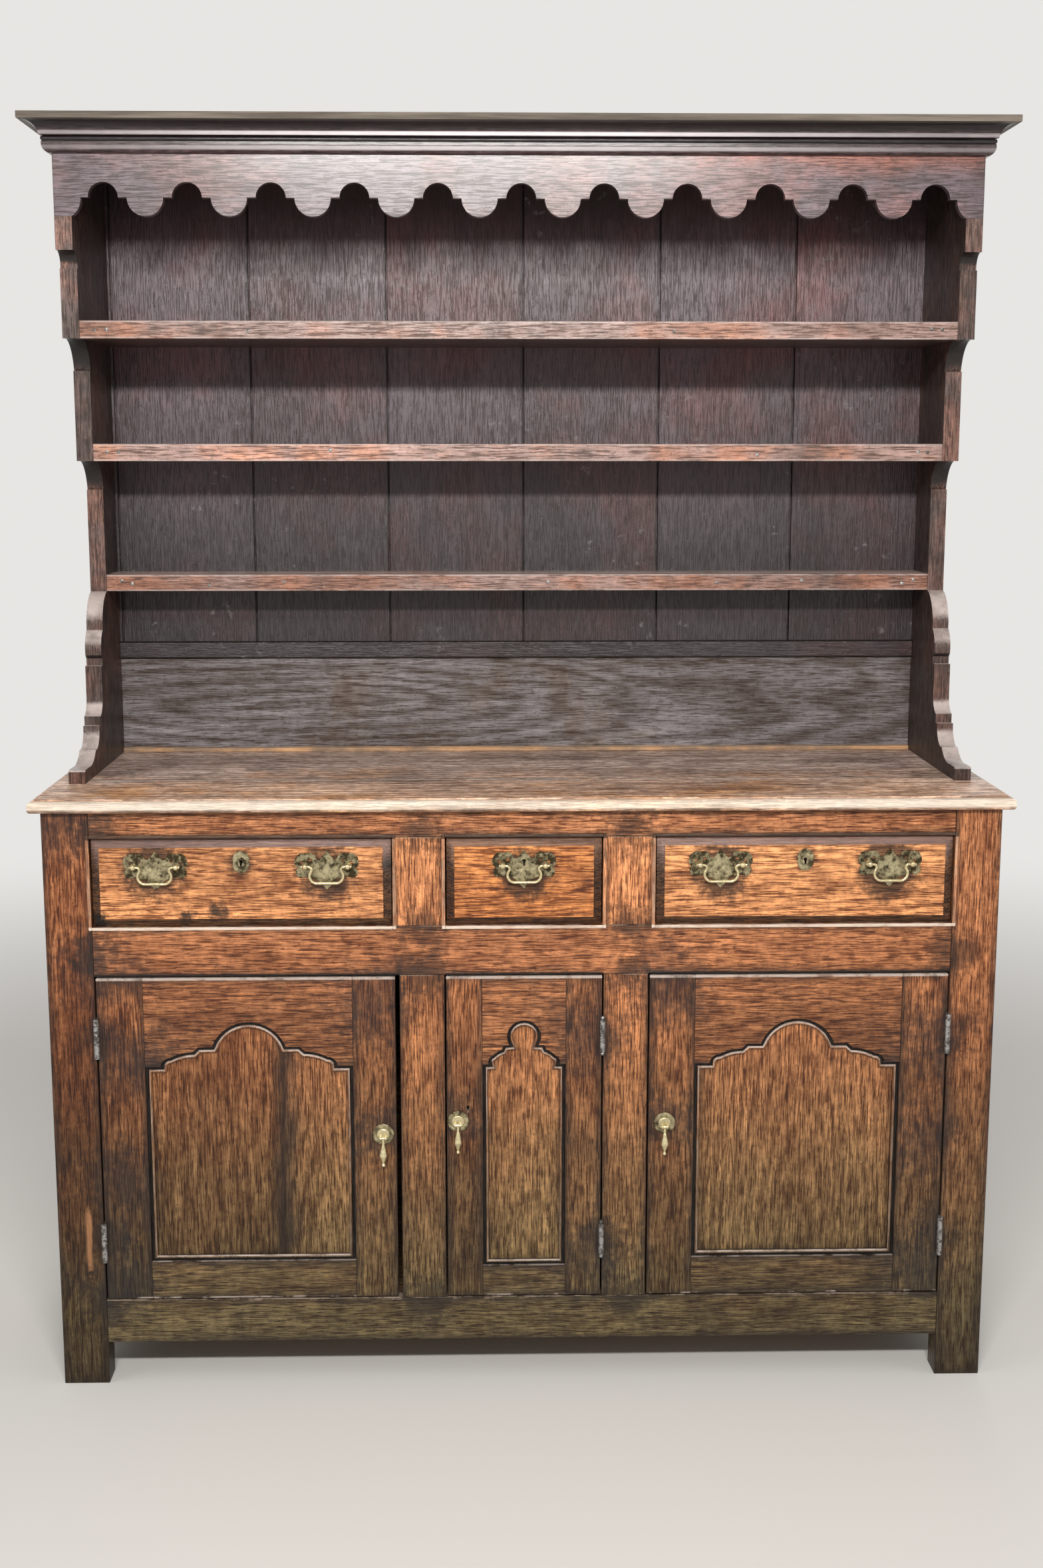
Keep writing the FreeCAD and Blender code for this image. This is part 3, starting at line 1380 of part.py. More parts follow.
def build_door(
    name, opening, hinge_side, lock_gap, stile_width, rail_height, hinge_length, pull_inset, pull_height
):
    """Frame, panel, hinges and pull of one door. Gives the frame's half of the hinges."""
    left, right = opening[0] + s.door_gap, opening[1] - s.door_gap
    edge_left = left if hinge_side == "left" else opening[0] + lock_gap
    edge_right = opening[1] - lock_gap if hinge_side == "left" else right
    low, high = door_low + s.door_gap, door_high - s.door_gap
    deep = (face, face + s.door_thickness)
    inner_left, inner_right = left + stile_width, right - stile_width
    rail_top = low + rail_height
    shoulder = high - s.door_top_rail_height
    panel_body = new_body(name + "_panel_board")
    outline = door_panel_outline(inner_left, inner_right, rail_top, shoulder)
    pad(panel_body, draw(panel_body, "XZ_Plane", outline, name + "_panel_outline"), s.door_panel_thickness, True)
    place(panel_body, deep=face + s.door_panel_recess)

    rail_body = new_body(name + "_top_rail_board")
    outline = door_rail_outline(inner_left, inner_right, shoulder, high)
    pad(rail_body, draw(rail_body, "XZ_Plane", outline, name + "_top_rail_outline"), s.door_thickness, True)
    place(rail_body, deep=face)
    low_rail = board(name + "_bottom_rail", (inner_left, inner_right), deep, (low, rail_top))

    tenon_deep = tenon_depths(s.door_tenon_thickness, s.door_thickness)
    shoulder_height = s.door_tenon_shoulder
    tenon_ups = {
        "top": (shoulder + shoulder_height, high - shoulder_height),
        "bottom": (low + shoulder_height, rail_top - shoulder_height),
    }
    rails, tenons = [], {"left": [], "right": []}
    for level, body in (("top", rail_body), ("bottom", low_rail)):
        ends = []
        for side, start, sign in (("left", inner_left, -1), ("right", inner_right, 1)):
            across = (start, start + s.door_tenon_length * sign)
            tenon = board("%s_%s_%s_tenon" % (name, level, side), across, tenon_deep, tenon_ups[level])
            tenons[side].append(tenon)
            ends.append(tenon)
        whole = join("%s_%s_rail_tenoned" % (name, level), [body] + ends)
        rails.append(cut("%s_%s_rail_grooved" % (name, level), whole, [panel_body]))

    on_left = hinge_side == "left"
    pull_up = door_low + pull_height
    extra = []
    if name.startswith("middle"):
        key_across = left + s.door_keyhole_inset
        key_up = pull_up + s.door_keyhole_rise
        key_deep = (face - s.overrun, face + s.door_thickness + s.lock_plate_thickness)
        extra = [keyhole(name + "_keyhole", key_across, key_deep, key_up)]
        lock_high = key_up + s.lock_height / 2
        lock_across = left + s.lock_width / 2
        lock = lock_case(name + "_lock_case", lock_across, face + s.door_thickness, lock_high)
        node(name + "_lock", cut(name + "_lock", lock, extra))
    stiles = []
    for side, across in (("left", (edge_left, inner_left)), ("right", (inner_right, edge_right))):
        plain = board("%s_%s_stile_board" % (name, side), across, deep, (low, high))
        tools = tenons[side] + [panel_body] + (extra if side != hinge_side else [])
        stiles.append(cut("%s_%s_stile" % (name, side), plain, tools))
    node(name + "_stiles", group(name + "_stiles", stiles))
    node(name + "_rails", group(name + "_rails", rails))
    panel = panel_body
    if name.startswith("left"):
        joint = inner_right - s.left_panel_right_board
        halves = []
        for side, across in (("left", (left, joint)), ("right", (joint, right))):
            half = doc.addObject("Part::Common", "%s_panel_%s_half" % (name, side))
            half.Base = panel_body
            half.Tool = board("%s_panel_%s_room" % (name, side), across, deep, (low, high))
            halves.append(half)
        panel = group(name + "_panel_boards", halves)
    node(name + "_panel", panel)

    edge, sign = (opening[0], 1) if on_left else (opening[1], -1)
    frame_leaves, door_leaves = [], []
    for place_name, middle in (("upper", door_high - s.hinge_inset), ("lower", door_low + s.hinge_inset)):
        hinge_name = "%s_%s_hinge" % (name, place_name)
        finials = name.startswith("middle")
        frame_leaf, door_leaf, pin = hinge(hinge_name, edge, sign, middle, hinge_length, finials)
        frame_leaves += [frame_leaf, pin]
        door_leaves.append(door_leaf)
    node(name + "_hinge_leaves", group(name + "_hinge_leaves", door_leaves))

    pull_across = right - pull_inset if on_left else left + pull_inset
    rose, drop = drop_pull(name + "_pull", pull_across, pull_up)
    node(name + "_pull_rose", rose)
    node(name + "_pull_drop", drop)
    return frame_leaves


def build_doors():
    leaves = []
    wide = (s.door_stile_width, s.door_bottom_rail_height, s.hinge_length, s.pull_inset)
    slim = (
        s.middle_door_stile_width,
        s.middle_door_bottom_rail_height,
        s.middle_hinge_length,
        s.middle_pull_inset,
    )
    leaves += build_door("left_door", DOORS["left"], "left", s.left_door_lock_gap, *wide, s.left_pull_height)
    leaves += build_door("middle_door", DOORS["middle"], "right", s.door_gap, *slim, s.middle_pull_height)
    leaves += build_door("right_door", DOORS["right"], "right", s.door_gap, *wide, s.right_pull_height)
    node("frame_hinge_leaves", group("frame_hinge_leaves", leaves))


def check_and_write():
    """Stops at any failed object, then writes each sub-part to its own file."""
    doc.recompute()
    for obj in doc.Objects:
        if "Invalid" in obj.State or "Error" in obj.State:
            raise RuntimeError("failed object: %s %s" % (obj.Name, obj.State))
    for obj in nodes:
        if obj.Shape.isNull() or not obj.Shape.isValid() or not obj.Shape.Solids:
            raise RuntimeError("bad shape: " + obj.Label)
    os.makedirs("parts", exist_ok=True)
    for obj in nodes:
        obj.Shape.exportStep(os.path.join("parts", obj.Label + ".step"))
    print("%d sub-parts, %d solids" % (len(nodes), sum(len(obj.Shape.Solids) for obj in nodes)))


build_base()
build_beads()
build_top()
build_rack()
build_frieze()
build_cornice()
for drawer, edges in DRAWERS.items():
    build_drawer(drawer + "_drawer", edges)
build_doors()
check_and_write()
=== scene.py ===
"""Looks of the oak dresser: waxed and worn oak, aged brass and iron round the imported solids."""

import json
import math
import random

import bmesh
import bpy
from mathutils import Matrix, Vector


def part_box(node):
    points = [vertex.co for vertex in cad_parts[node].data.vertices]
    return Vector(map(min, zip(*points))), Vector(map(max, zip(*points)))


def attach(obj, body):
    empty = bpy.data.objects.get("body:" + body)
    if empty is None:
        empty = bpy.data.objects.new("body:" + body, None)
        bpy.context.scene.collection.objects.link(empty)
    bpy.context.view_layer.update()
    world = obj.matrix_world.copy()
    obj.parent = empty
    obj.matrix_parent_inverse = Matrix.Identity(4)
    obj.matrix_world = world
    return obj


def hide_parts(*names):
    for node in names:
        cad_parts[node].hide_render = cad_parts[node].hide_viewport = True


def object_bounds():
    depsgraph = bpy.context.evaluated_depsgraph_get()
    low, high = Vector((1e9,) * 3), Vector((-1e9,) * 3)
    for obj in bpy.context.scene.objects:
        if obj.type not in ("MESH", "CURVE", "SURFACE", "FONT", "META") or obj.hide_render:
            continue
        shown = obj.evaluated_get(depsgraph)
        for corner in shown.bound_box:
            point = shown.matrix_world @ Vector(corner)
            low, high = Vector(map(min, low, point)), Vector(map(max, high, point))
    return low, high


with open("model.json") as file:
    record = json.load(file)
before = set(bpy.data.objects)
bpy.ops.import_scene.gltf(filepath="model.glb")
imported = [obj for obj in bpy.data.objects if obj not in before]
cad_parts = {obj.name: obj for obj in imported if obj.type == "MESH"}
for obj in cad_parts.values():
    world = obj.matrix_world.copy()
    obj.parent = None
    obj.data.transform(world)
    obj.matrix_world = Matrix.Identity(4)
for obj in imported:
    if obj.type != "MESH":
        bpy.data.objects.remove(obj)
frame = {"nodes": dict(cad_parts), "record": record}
cad_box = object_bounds()

# Camera of the photograph, in metres and radians, fitted to the corners of the base and of the rack
CAMERA_PLACE = (-0.06686, -2.99539, 1.43065)
CAMERA_YAW = -0.02272
CAMERA_PITCH = 0.17125
CAMERA_LENS = 43.257
CAMERA_FILM = 36.0

# The studio. The floor turns into the backdrop between two distances from its middle, in metres
BACKDROP = (0.80, 0.79, 0.77)
FLOOR = (0.88, 0.87, 0.85)
FLOOR_FADE = (1.6, 4.2)
FLOOR_RINGS = (1.2, 2.4, 5.0, 14.0)
FLOOR_SIDES = 64
SKY = (1.0, 0.985, 0.96)
SKY_STRENGTH = 0.29
LAMP_COLOUR = (1.0, 0.97, 0.93)
LAMP_AIM = Vector((0.0, 0.0, 1.1))

# Name, place, width and height of each lamp in metres, and its watts
LAMPS = (
    ("lamp_over_camera", (-0.10, -3.10, 2.50), 1.5, 0.16, 94.0),
    ("lamp_left", (-3.4, -1.6, 2.4), 2.0, 2.0, 14.0),
    ("lamp_right", (3.4, -1.2, 2.2), 2.0, 2.0, 10.0),
    ("lamp_behind", (0.6, 3.4, 2.6), 2.0, 1.2, 22.0),
)

# Arrises taken off wood and metal, in metres. An edge sharper than one angle is an arris, and triangles within
# another angle are one flat face, both in degrees. Corners alike to so many digits of a metre are one corner
WOOD_ARRIS = 0.0013
METAL_ARRIS = 0.0003
ARRIS_ANGLE = 35.0
FLAT_ANGLE = 0.4
SAME_PLACE_DIGITS = 6

# The bead round a door panel, in metres. At a corner it spreads no further than the mitre allows
BEAD_WIDTH = 0.0052
SLIM_BEAD_WIDTH = 0.0044
BEAD_RISE = 0.0056
BEAD_QUIRK = 0.0046
BEAD_BED = 0.0005
BEAD_ROOT = 0.0002
BEAD_PARTS = 8
BEAD_ANGLE = 60.0
MITRE_GUARD = 0.2
MITRE_MOST = 1.6

# Arched head of a door panel, from its middle to one side: share of the half width, share of the rise, bow
ARCH_SHARES = (
    (0.355, 0.44, None),
    (0.49, 0.44, 0.0),
    (0.54, 0.33, 0.0),
    (0.76, 0.20, 0.12),
    (0.85, 0.00, 0.41),
    (1.00, 0.00, 0.0),
)
ARCH_RISE = 0.070
ARC_POINTS = 7
CROWN_POINTS = 14
TOP_RAIL_HEIGHT = 0.140
PANEL_TONGUE = 0.0080

# Nail heads of the shelves, in metres: rings as shares of radius and rise, and where they are along a shelf
NAIL_RADIUS = 0.0034
NAIL_RISE = 0.0009
NAIL_SUNK = 0.0003
NAIL_SIDES = 9
NAIL_RINGS = ((1.0, 0.0), (0.8, 0.6), (0.35, 1.0))
NAIL_STRAY_ACROSS = 0.003
NAIL_STRAY_UP = 0.004
END_NAILS = (-0.655, -0.637, 0.637, 0.655)
SHELF_NAILS = (
    ("upper_shelf", (-0.42, 0.24)),
    ("middle_shelf", (-0.30, 0.38)),
    ("lower_shelf", (-0.51, -0.39, 0.05, 0.33, 0.47)),
)

# How light a board is beside its neighbours. The left door's panel has a lighter board right of its joint
TONES = {
    "left_front_stile": 0.56,
    "right_front_stile": 0.76,
    "top_rail": 0.92,
    "middle_rail": 0.80,
    "bottom_rail": 1.00,
    "muntins": 1.13,
    "left_drawer_front": 1.12,
    "middle_drawer_front": 0.96,
    "right_drawer_front": 1.03,
    "left_door_panel": 0.64,
    "middle_door_panel": 1.30,
    "right_door_panel": 0.88,
    "upper_shelf": 0.72,
    "middle_shelf": 1.32,
    "lower_shelf": 0.80,
}
LEFT_PANEL_JOINT = -0.35
RIGHT_BOARD_LIFT = 1.72
LUCK_REACH = 40

# Colours of the base's front by height over the floor: smoked and greenish by the feet, warm at the drawers
# The darkening towards the floor is partly grime and partly painted shade of light falling off downward
FRONT_OAK = (
    (0.00, (0.092, 0.070, 0.036)),
    (0.12, (0.132, 0.096, 0.043)),
    (0.30, (0.185, 0.098, 0.041)),
    (0.50, (0.285, 0.118, 0.047)),
    (0.68, (0.415, 0.160, 0.064)),
    (0.88, (0.500, 0.205, 0.086)),
)
# The panels darken towards the floor the same way: partly grime, partly painted shade
PANEL_OAK = (
    (0.18, (0.135, 0.089, 0.038)),
    (0.34, (0.215, 0.116, 0.048)),
    (0.52, (0.330, 0.138, 0.056)),
    (0.60, (0.370, 0.147, 0.058)),
)
# Pale oak for wear and painted highlights, and a dark colour for grime and painted shade
PALE_WEAR_AND_HIGHLIGHT = (0.62, 0.47, 0.36)
GRIME_AND_SHADE = (0.020, 0.013, 0.010)
SOOT = (0.017, 0.015, 0.017)

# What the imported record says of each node
PACKED = frame["record"]
BODY_OF = {node: body for body, nodes in PACKED["behaviour"]["bodies"].items() for node in nodes}
SLOT_OF = {part["node"]: part["material_slot"] for part in PACKED["subparts"]}
SIDES = ("left", "middle", "right")
SHELVES = ("upper_shelf", "middle_shelf", "lower_shelf")
AXES = (Vector((1, 0, 0)), Vector((0, 1, 0)), Vector((0, 0, 1)))

# Faces and lines of the solids that the finishes follow, in metres
BASE_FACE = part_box("top_rail")[0].y
DOOR_FOOT, DOOR_HEAD = [corner.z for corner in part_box("left_door_stiles")]
DRAWER_FOOT, DRAWER_HEAD = [corner.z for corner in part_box("left_drawer_front")]
CORNICE_FOOT, CORNICE_HEAD = [corner.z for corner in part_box("cornice")]
TOP_NOSE = cad_box[0][1]
TOP_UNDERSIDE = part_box("top_boards")[0].z
TOP_SEAM = -0.0615
STRIP_HEAD = 0.939
FRIEZE_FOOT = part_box("frieze_board")[0].z
FRIEZE_SHADE = FRIEZE_FOOT - 0.045
SHELF_UNDERSIDES = [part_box(shelf)[0].z for shelf in SHELVES]
BOARD_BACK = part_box("rack_backboards")[1].y

# The front of the base: middle and half width of a door muntin, half width of the three doors together,
# the painted shade of the gap over the doors and the rubbed line under them, and a rubbed patch of the left
# stile
MUNTIN_MIDDLE = 0.155
MUNTIN_HALF = 0.035
DOORS_HALF = 0.650
SOFT_EDGE = 0.001
GAP_SHADE_OVER_DOORS = (0.6570, 0.6580, 0.6600, 0.6630)
LINE_UNDER_DOORS = (0.1335, 0.1350, 0.1385, 0.1395)
PATCH_ACROSS = -0.672
PATCH_UP = 0.235
MIDDLE_DRAWER_EDGE = (0.125, 0.140)


def face_points(*places):
    """Points on the face of the base."""
    return [Vector((across, BASE_FACE, up)) for across, up in places]


def middle_of(node):
    """Middle of a node as seen from the front."""
    low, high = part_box(node)
    return (low.x + high.x) / 2, (low.z + high.z) / 2


HANDLES = face_points(*[(across, 0.820) for across in (-0.552, -0.296, 0.0, 0.296, 0.552)])
KEYHOLES = face_points((-0.424, 0.833), (0.424, 0.833))
PULLS = face_points(*[middle_of(side + "_door_pull_rose") for side in SIDES])
HINGES = face_points(*[(across, up) for across in (-0.648, 0.120, 0.648) for up in (0.234, 0.562)])

# Dark places of the photograph: wax in the joints, smoky patches, and burns in the drawers
JOINTS = face_points(
    (-0.158, 0.884), (0.158, 0.884), (-0.158, 0.735), (0.158, 0.735), (-0.155, 0.664), (0.155, 0.664),
    (-0.155, 0.132), (0.155, 0.132), (-0.650, 0.870), (-0.655, 0.690), (0.655, 0.690), (-0.650, 0.132),
)
SMOKE = face_points(
    (-0.690, 0.893), (-0.648, 0.668), (-0.226, 0.612), (-0.625, 0.160), (0.098, 0.560), (0.105, 0.215),
    (0.212, 0.640), (0.632, 0.555), (0.612, 0.400), (0.620, 0.195), (-0.610, 0.330), (-0.585, 0.520),
)
BURNS = face_points((-0.505, 0.752), (-0.462, 0.757), (-0.640, 0.748), (-0.205, 0.835))


class Value:
    """A number, colour or vector that changes over a surface. Arithmetic on numbers adds Math nodes."""

    def __init__(self, recipe, socket):
        self.recipe = recipe
        self.socket = socket

    def __add__(self, other):
        return self.recipe.math("ADD", self, other)

    def __radd__(self, other):
        return self.recipe.math("ADD", other, self)

    def __sub__(self, other):
        return self.recipe.math("SUBTRACT", self, other)

    def __rsub__(self, other):
        return self.recipe.math("SUBTRACT", other, self)

    def __mul__(self, other):
        return self.recipe.math("MULTIPLY", self, other)

    def __rmul__(self, other):
        return self.recipe.math("MULTIPLY", other, self)

    def __truediv__(self, other):
        return self.recipe.math("DIVIDE", self, other)

    def __rtruediv__(self, other):
        return self.recipe.math("DIVIDE", other, self)

    def __pow__(self, other):
        return self.recipe.math("POWER", self, other)

    def __abs__(self):
        return self.recipe.math("ABSOLUTE", self)

    def low(self, other):
        return self.recipe.math("MINIMUM", self, other)

    def high(self, other):
        return self.recipe.math("MAXIMUM", self, other)


class Recipe:
    """The nodes of a material or of the world."""

    def __init__(self, owner):
        owner.use_nodes = True
        self.tree = owner.node_tree
        self.tree.nodes.clear()

    def node(self, kind, settings=None, values=None, output=0):
        """Adds a node: its settings first, then the values or links of its sockets."""
        node = self.tree.nodes.new(kind)
        for name, setting in (settings or {}).items():
            if name == "stops":
                self.set_stops(node.color_ramp, setting)
            else:
                setattr(node, name, setting)
        for name, value in (values or {}).items():
            socket = node.inputs[name]
            if isinstance(value, Value):
                self.tree.links.new(value.socket, socket)
            elif socket.type == "RGBA":
                socket.default_value = (*value, 1.0)
            else:
                socket.default_value = value
        return Value(self, node.outputs[output]) if node.outputs else None

    @staticmethod
    def set_stops(ramp, stops):
        while len(ramp.elements) < len(stops):
            ramp.elements.new(1.0)
        for element, (place, colour) in zip(ramp.elements, stops):
            element.position = place
            element.color = (*colour, 1.0)

    def math(self, operation, one, other=0.0):
        return self.node("ShaderNodeMath", {"operation": operation}, {0: one, 1: other})


class Finish(Recipe):
    """A material, and the fields that its recipe is made of."""

    def __init__(self, name):
        self.material = bpy.data.materials.new(name)
        super().__init__(self.material)
        self.spot = self.node("ShaderNodeTexCoord", output="Object")

    def vector(self, operation, one, other=None, output=0):
        values = {0: one} if other is None else {0: one, 1: other}
        return self.node("ShaderNodeVectorMath", {"operation": operation}, values, output)

    def dot(self, one, other):
        return self.vector("DOT_PRODUCT", one, other, "Value")

    def length(self, vector):
        return self.vector("LENGTH", vector, output="Value")

    def parts(self, vector):
        node = self.node("ShaderNodeSeparateXYZ", values={0: vector}).socket.node
        return [Value(self, socket) for socket in node.outputs]

    def joined(self, x, y, z):
        return self.node("ShaderNodeCombineXYZ", values={0: x, 1: y, 2: z})

    def held(self, name):
        """A vector that the mesh holds for each solid."""
        return self.node("ShaderNodeAttribute", {"attribute_name": name}, output="Vector")

    def noise(self, vector, scale, detail=2.0, rough=0.5, warp=0.0):
        values = {"Vector": vector, "Scale": scale, "Detail": detail, "Roughness": rough, "Distortion": warp}
        return self.node("ShaderNodeTexNoise", values=values)

    def step(self, value, start, stop, low=0.0, high=1.0):
        """Goes smoothly from low to high while the value goes from start to stop."""
        values = {"Value": value, "From Min": start, "From Max": stop, "To Min": low, "To Max": high}
        return self.node("ShaderNodeMapRange", {"interpolation_type": "SMOOTHSTEP"}, values)

    def fade(self, value, start, stop):
        """Goes smoothly from 1 to 0 while the value goes from start to stop."""
        return self.step(value, start, stop, 1.0, 0.0)

    def band(self, value, start, full, end, gone):
        """Rises to 1 from start to full and falls to 0 from end to gone."""
        return self.step(value, start, full) * self.fade(value, end, gone)

    def line(self, value, place, inner, outer):
        """A line at a place: 1 within the inner half width, 0 beyond the outer one."""
        return self.fade(abs(value - place), inner, outer)

    def wave(self, turns):
        """A soft wave from 0 to 1, once each turn."""
        return self.math("SINE", turns * (2 * math.pi)) * 0.5 + 0.5

    def mix(self, share, one, other, blend="MIX"):
        settings = {"data_type": "RGBA", "blend_type": blend}
        return self.node("ShaderNodeMix", settings, {0: share, 6: one, 7: other}, 2)

    def tinted(self, colour, tint):
        """A colour multiplied by another, part by part."""
        return self.mix(1.0, colour, tint, "MULTIPLY")

    def shaded(self, colour, value):
        """A colour made darker or lighter by a number."""
        return self.tinted(colour, self.joined(value, value, value))

    def ramp(self, value, stops):
        return self.node("ShaderNodeValToRGB", {"stops": stops}, {0: value})

    def distance(self, points):
        """Distance to the nearest of some points, as seen from the front."""
        nearest = None
        for point in points:
            gap = self.vector("MULTIPLY", self.vector("SUBTRACT", self.spot, tuple(point)), (1.0, 0.0, 1.0))
            nearest = self.length(gap) if nearest is None else nearest.low(self.length(gap))
        return nearest

    def shown_by(self, shader):
        """Ends the recipe with a shader."""
        self.node("ShaderNodeOutputMaterial", values={"Surface": shader})
        return self.material

    def close(self, colour, roughness, height, lift, constants):
        """Ends the recipe: a principled surface with a bump of some lift in metres."""
        normal = self.node("ShaderNodeBump", values={"Height": height, "Distance": lift, "Strength": 1.0})
        surface = {"Base Color": colour, "Roughness": roughness, "Normal": normal}
        return self.shown_by(self.node("ShaderNodeBsdfPrincipled", values={**constants, **surface}))


class Wood(Finish):
    """Oak: the grain of each board runs along its own length."""

    def __init__(self, name, ring_width=0.013, ring_depth=0.03, ring_slope=0.10):
        super().__init__(name)
        low, high, luck = self.held("lowest"), self.held("highest"), self.held("luck")
        along, across = self.held("along"), self.held("across")
        sum_of_ends = self.vector("ADD", low, high)
        middle = self.node("ShaderNodeVectorMath", {"operation": "SCALE"}, {0: sum_of_ends, 3: 0.5})
        local = self.vector("SUBTRACT", self.spot, middle)
        deep = self.vector("CROSS_PRODUCT", along, across)
        board = self.joined(self.dot(local, along), self.dot(local, across), self.dot(local, deep))
        self.along, self.across, _ = self.parts(board)
        self.grain = self.vector("ADD", board, luck)
        self.shifted = self.vector("ADD", self.spot, luck)
        self.tone = self.parts(self.held("tone"))[0]
        self.x, self.y, self.z = self.parts(self.spot)
        below = self.vector("SUBTRACT", self.spot, low)
        above = self.vector("SUBTRACT", high, self.spot)
        one, two, three = self.parts(self.vector("MINIMUM", below, above))
        self.edge = one.low(two).high(one.high(two).low(three))
        self.sideways, _, self.facing = self.parts(self.node("ShaderNodeNewGeometry", output="Normal"))
        self.broad = self.step(self.grained((1.7, 9.0, 9.0), 3.0, 0.55), 0.25, 0.75)
        self.streaks = self.step(self.grained((3.6, 84.0, 84.0), 4.0, 0.62, 0.5), 0.30, 0.70)
        self.fine = self.step(self.grained((20.0, 400.0, 400.0), 3.0, 0.6, 0.3), 0.30, 0.70)
        self.pores = self.step(self.grained((32.0, 540.0, 540.0), 1.5, 0.5, 0.4), 0.51, 0.63)
        self.flecks = self.step(self.grained((95.0, 210.0, 210.0), 2.0, 0.6, 1.2), 0.58, 0.72)
        self.cloud = self.noise(self.shifted, 9.0, 4.0, 0.62)
        self.grit = self.step(self.noise(self.shifted, 75.0, 4.0, 0.7), 0.28, 0.72)
        self.rings = self.ring_lines(ring_width, ring_depth, ring_slope)

    def grained(self, stretch, detail, rough=0.5, warp=0.0):
        """Noise that is long along the grain and short across it."""
        return self.noise(self.vector("MULTIPLY", self.grain, stretch), 1.0, detail, rough, warp)

    def ring_lines(self, width, depth, slope):
        """Year rings of a board sawn beside the heart, so they close in arches along its middle."""
        sway = self.grained((2.2, 9.0, 9.0), 3.0, 0.55) - 0.5
        side = self.across + sway * 0.045
        below = self.along * slope + sway * 0.06 + depth
        radius = self.math("SQRT", side * side + below * below)
        return self.wave(radius / width + sway * 1.6) ** 2.0

    def clouded(self, value, amount):
        """A value pushed up or down by clouds, so that what follows it has no straight border."""
        return value + (self.cloud - 0.5) * amount

    def oak_colour(self, base, streak=0.34, ring=0.24, pore=0.72, fleck=0.50, fine=0.84, grit=0.58):
        """The base colour broken by streaks, rings, pores and short flecks. The darker, the redder."""
        lightness = (1.0 + (self.streaks - 0.5) * streak) * (1.0 + (self.fine - 0.5) * fine)
        lightness = lightness * (1.0 + (self.broad - 0.5) * 0.55) * (1.0 + (self.grit - 0.5) * grit)
        lightness = lightness * (1.0 - self.rings * ring)
        lightness = lightness * (1.0 - (self.pores * pore).high(self.flecks * fleck))
        lightness = (lightness * self.tone * 1.22).high(0.02)
        depth = lightness.low(1.0)
        return self.tinted(base, self.joined(lightness, lightness * depth ** 0.28, lightness * depth ** 0.50))

    def front_colour(self, lift=1.0, **amounts):
        """The oak of the base by its height over the floor, darker low down: partly grime, partly painted
        shade.
        """
        stops = [(place, tuple(part * lift for part in colour)) for place, colour in FRONT_OAK]
        return self.oak_colour(self.ramp(self.clouded(self.z, 0.22), stops), **amounts)

    # Mixes in a dark colour: grime in some places, painted shade in others
    def darkened(self, colour, mask, dark_colour=GRIME_AND_SHADE):
        return self.mix(mask.low(1.0), colour, dark_colour)

    # Mixes in a pale colour: wear in some places, a painted highlight in others
    def lightened(self, colour, mask, pale=PALE_WEAR_AND_HIGHLIGHT):
        return self.mix(mask.low(1.0), colour, pale)

    def up(self, least=0.25):
        """Where the wood faces upward."""
        return self.step(self.facing, least, least + 0.3)

    def down(self, least=0.15):
        """Where the wood faces downward."""
        return self.step(self.facing, -least, -least - 0.35)

    def patchy(self, scale, start, stop):
        """Patches of noise, from 0 to 1."""
        return self.step(self.noise(self.shifted, scale, 4.0, 0.65), start, stop)

    def seams(self, width=0.0016):
        """Dark lines where boards meet."""
        return self.fade(self.edge, 0.0002, width)

    def ends(self, reach):
        """Dark wax that gathers at the edges of a board, in clouds."""
        return self.fade(self.clouded(self.edge, reach * 1.6), 0.0, reach)

    def near(self, points, inner, outer, ragged=0.05):
        """Close to some points, with a ragged border."""
        rough = (self.grit - 0.5) * (ragged * 0.35)
        return self.fade(self.clouded(self.distance(points), ragged) + rough, inner, outer)

    def waxed(self, colour, rough=0.42, coat=0.0, shine=0.32, lift=0.0009):
        """Ends the recipe: waxed oak that is rougher and lower in its pores."""
        roughness = self.clouded(rough, 0.22) + self.pores * 0.12 + self.flecks * 0.06
        height = self.fine * 0.30 - self.pores * 0.50 - self.flecks * 0.25 + self.streaks * 0.25
        height = height - self.rings * 0.10 + self.noise(self.shifted, 20.0, 2.0)
        constants = {"Coat Weight": coat, "Coat Roughness": 0.20, "Specular IOR Level": shine}
        return self.close(colour, roughness, height, lift, constants)


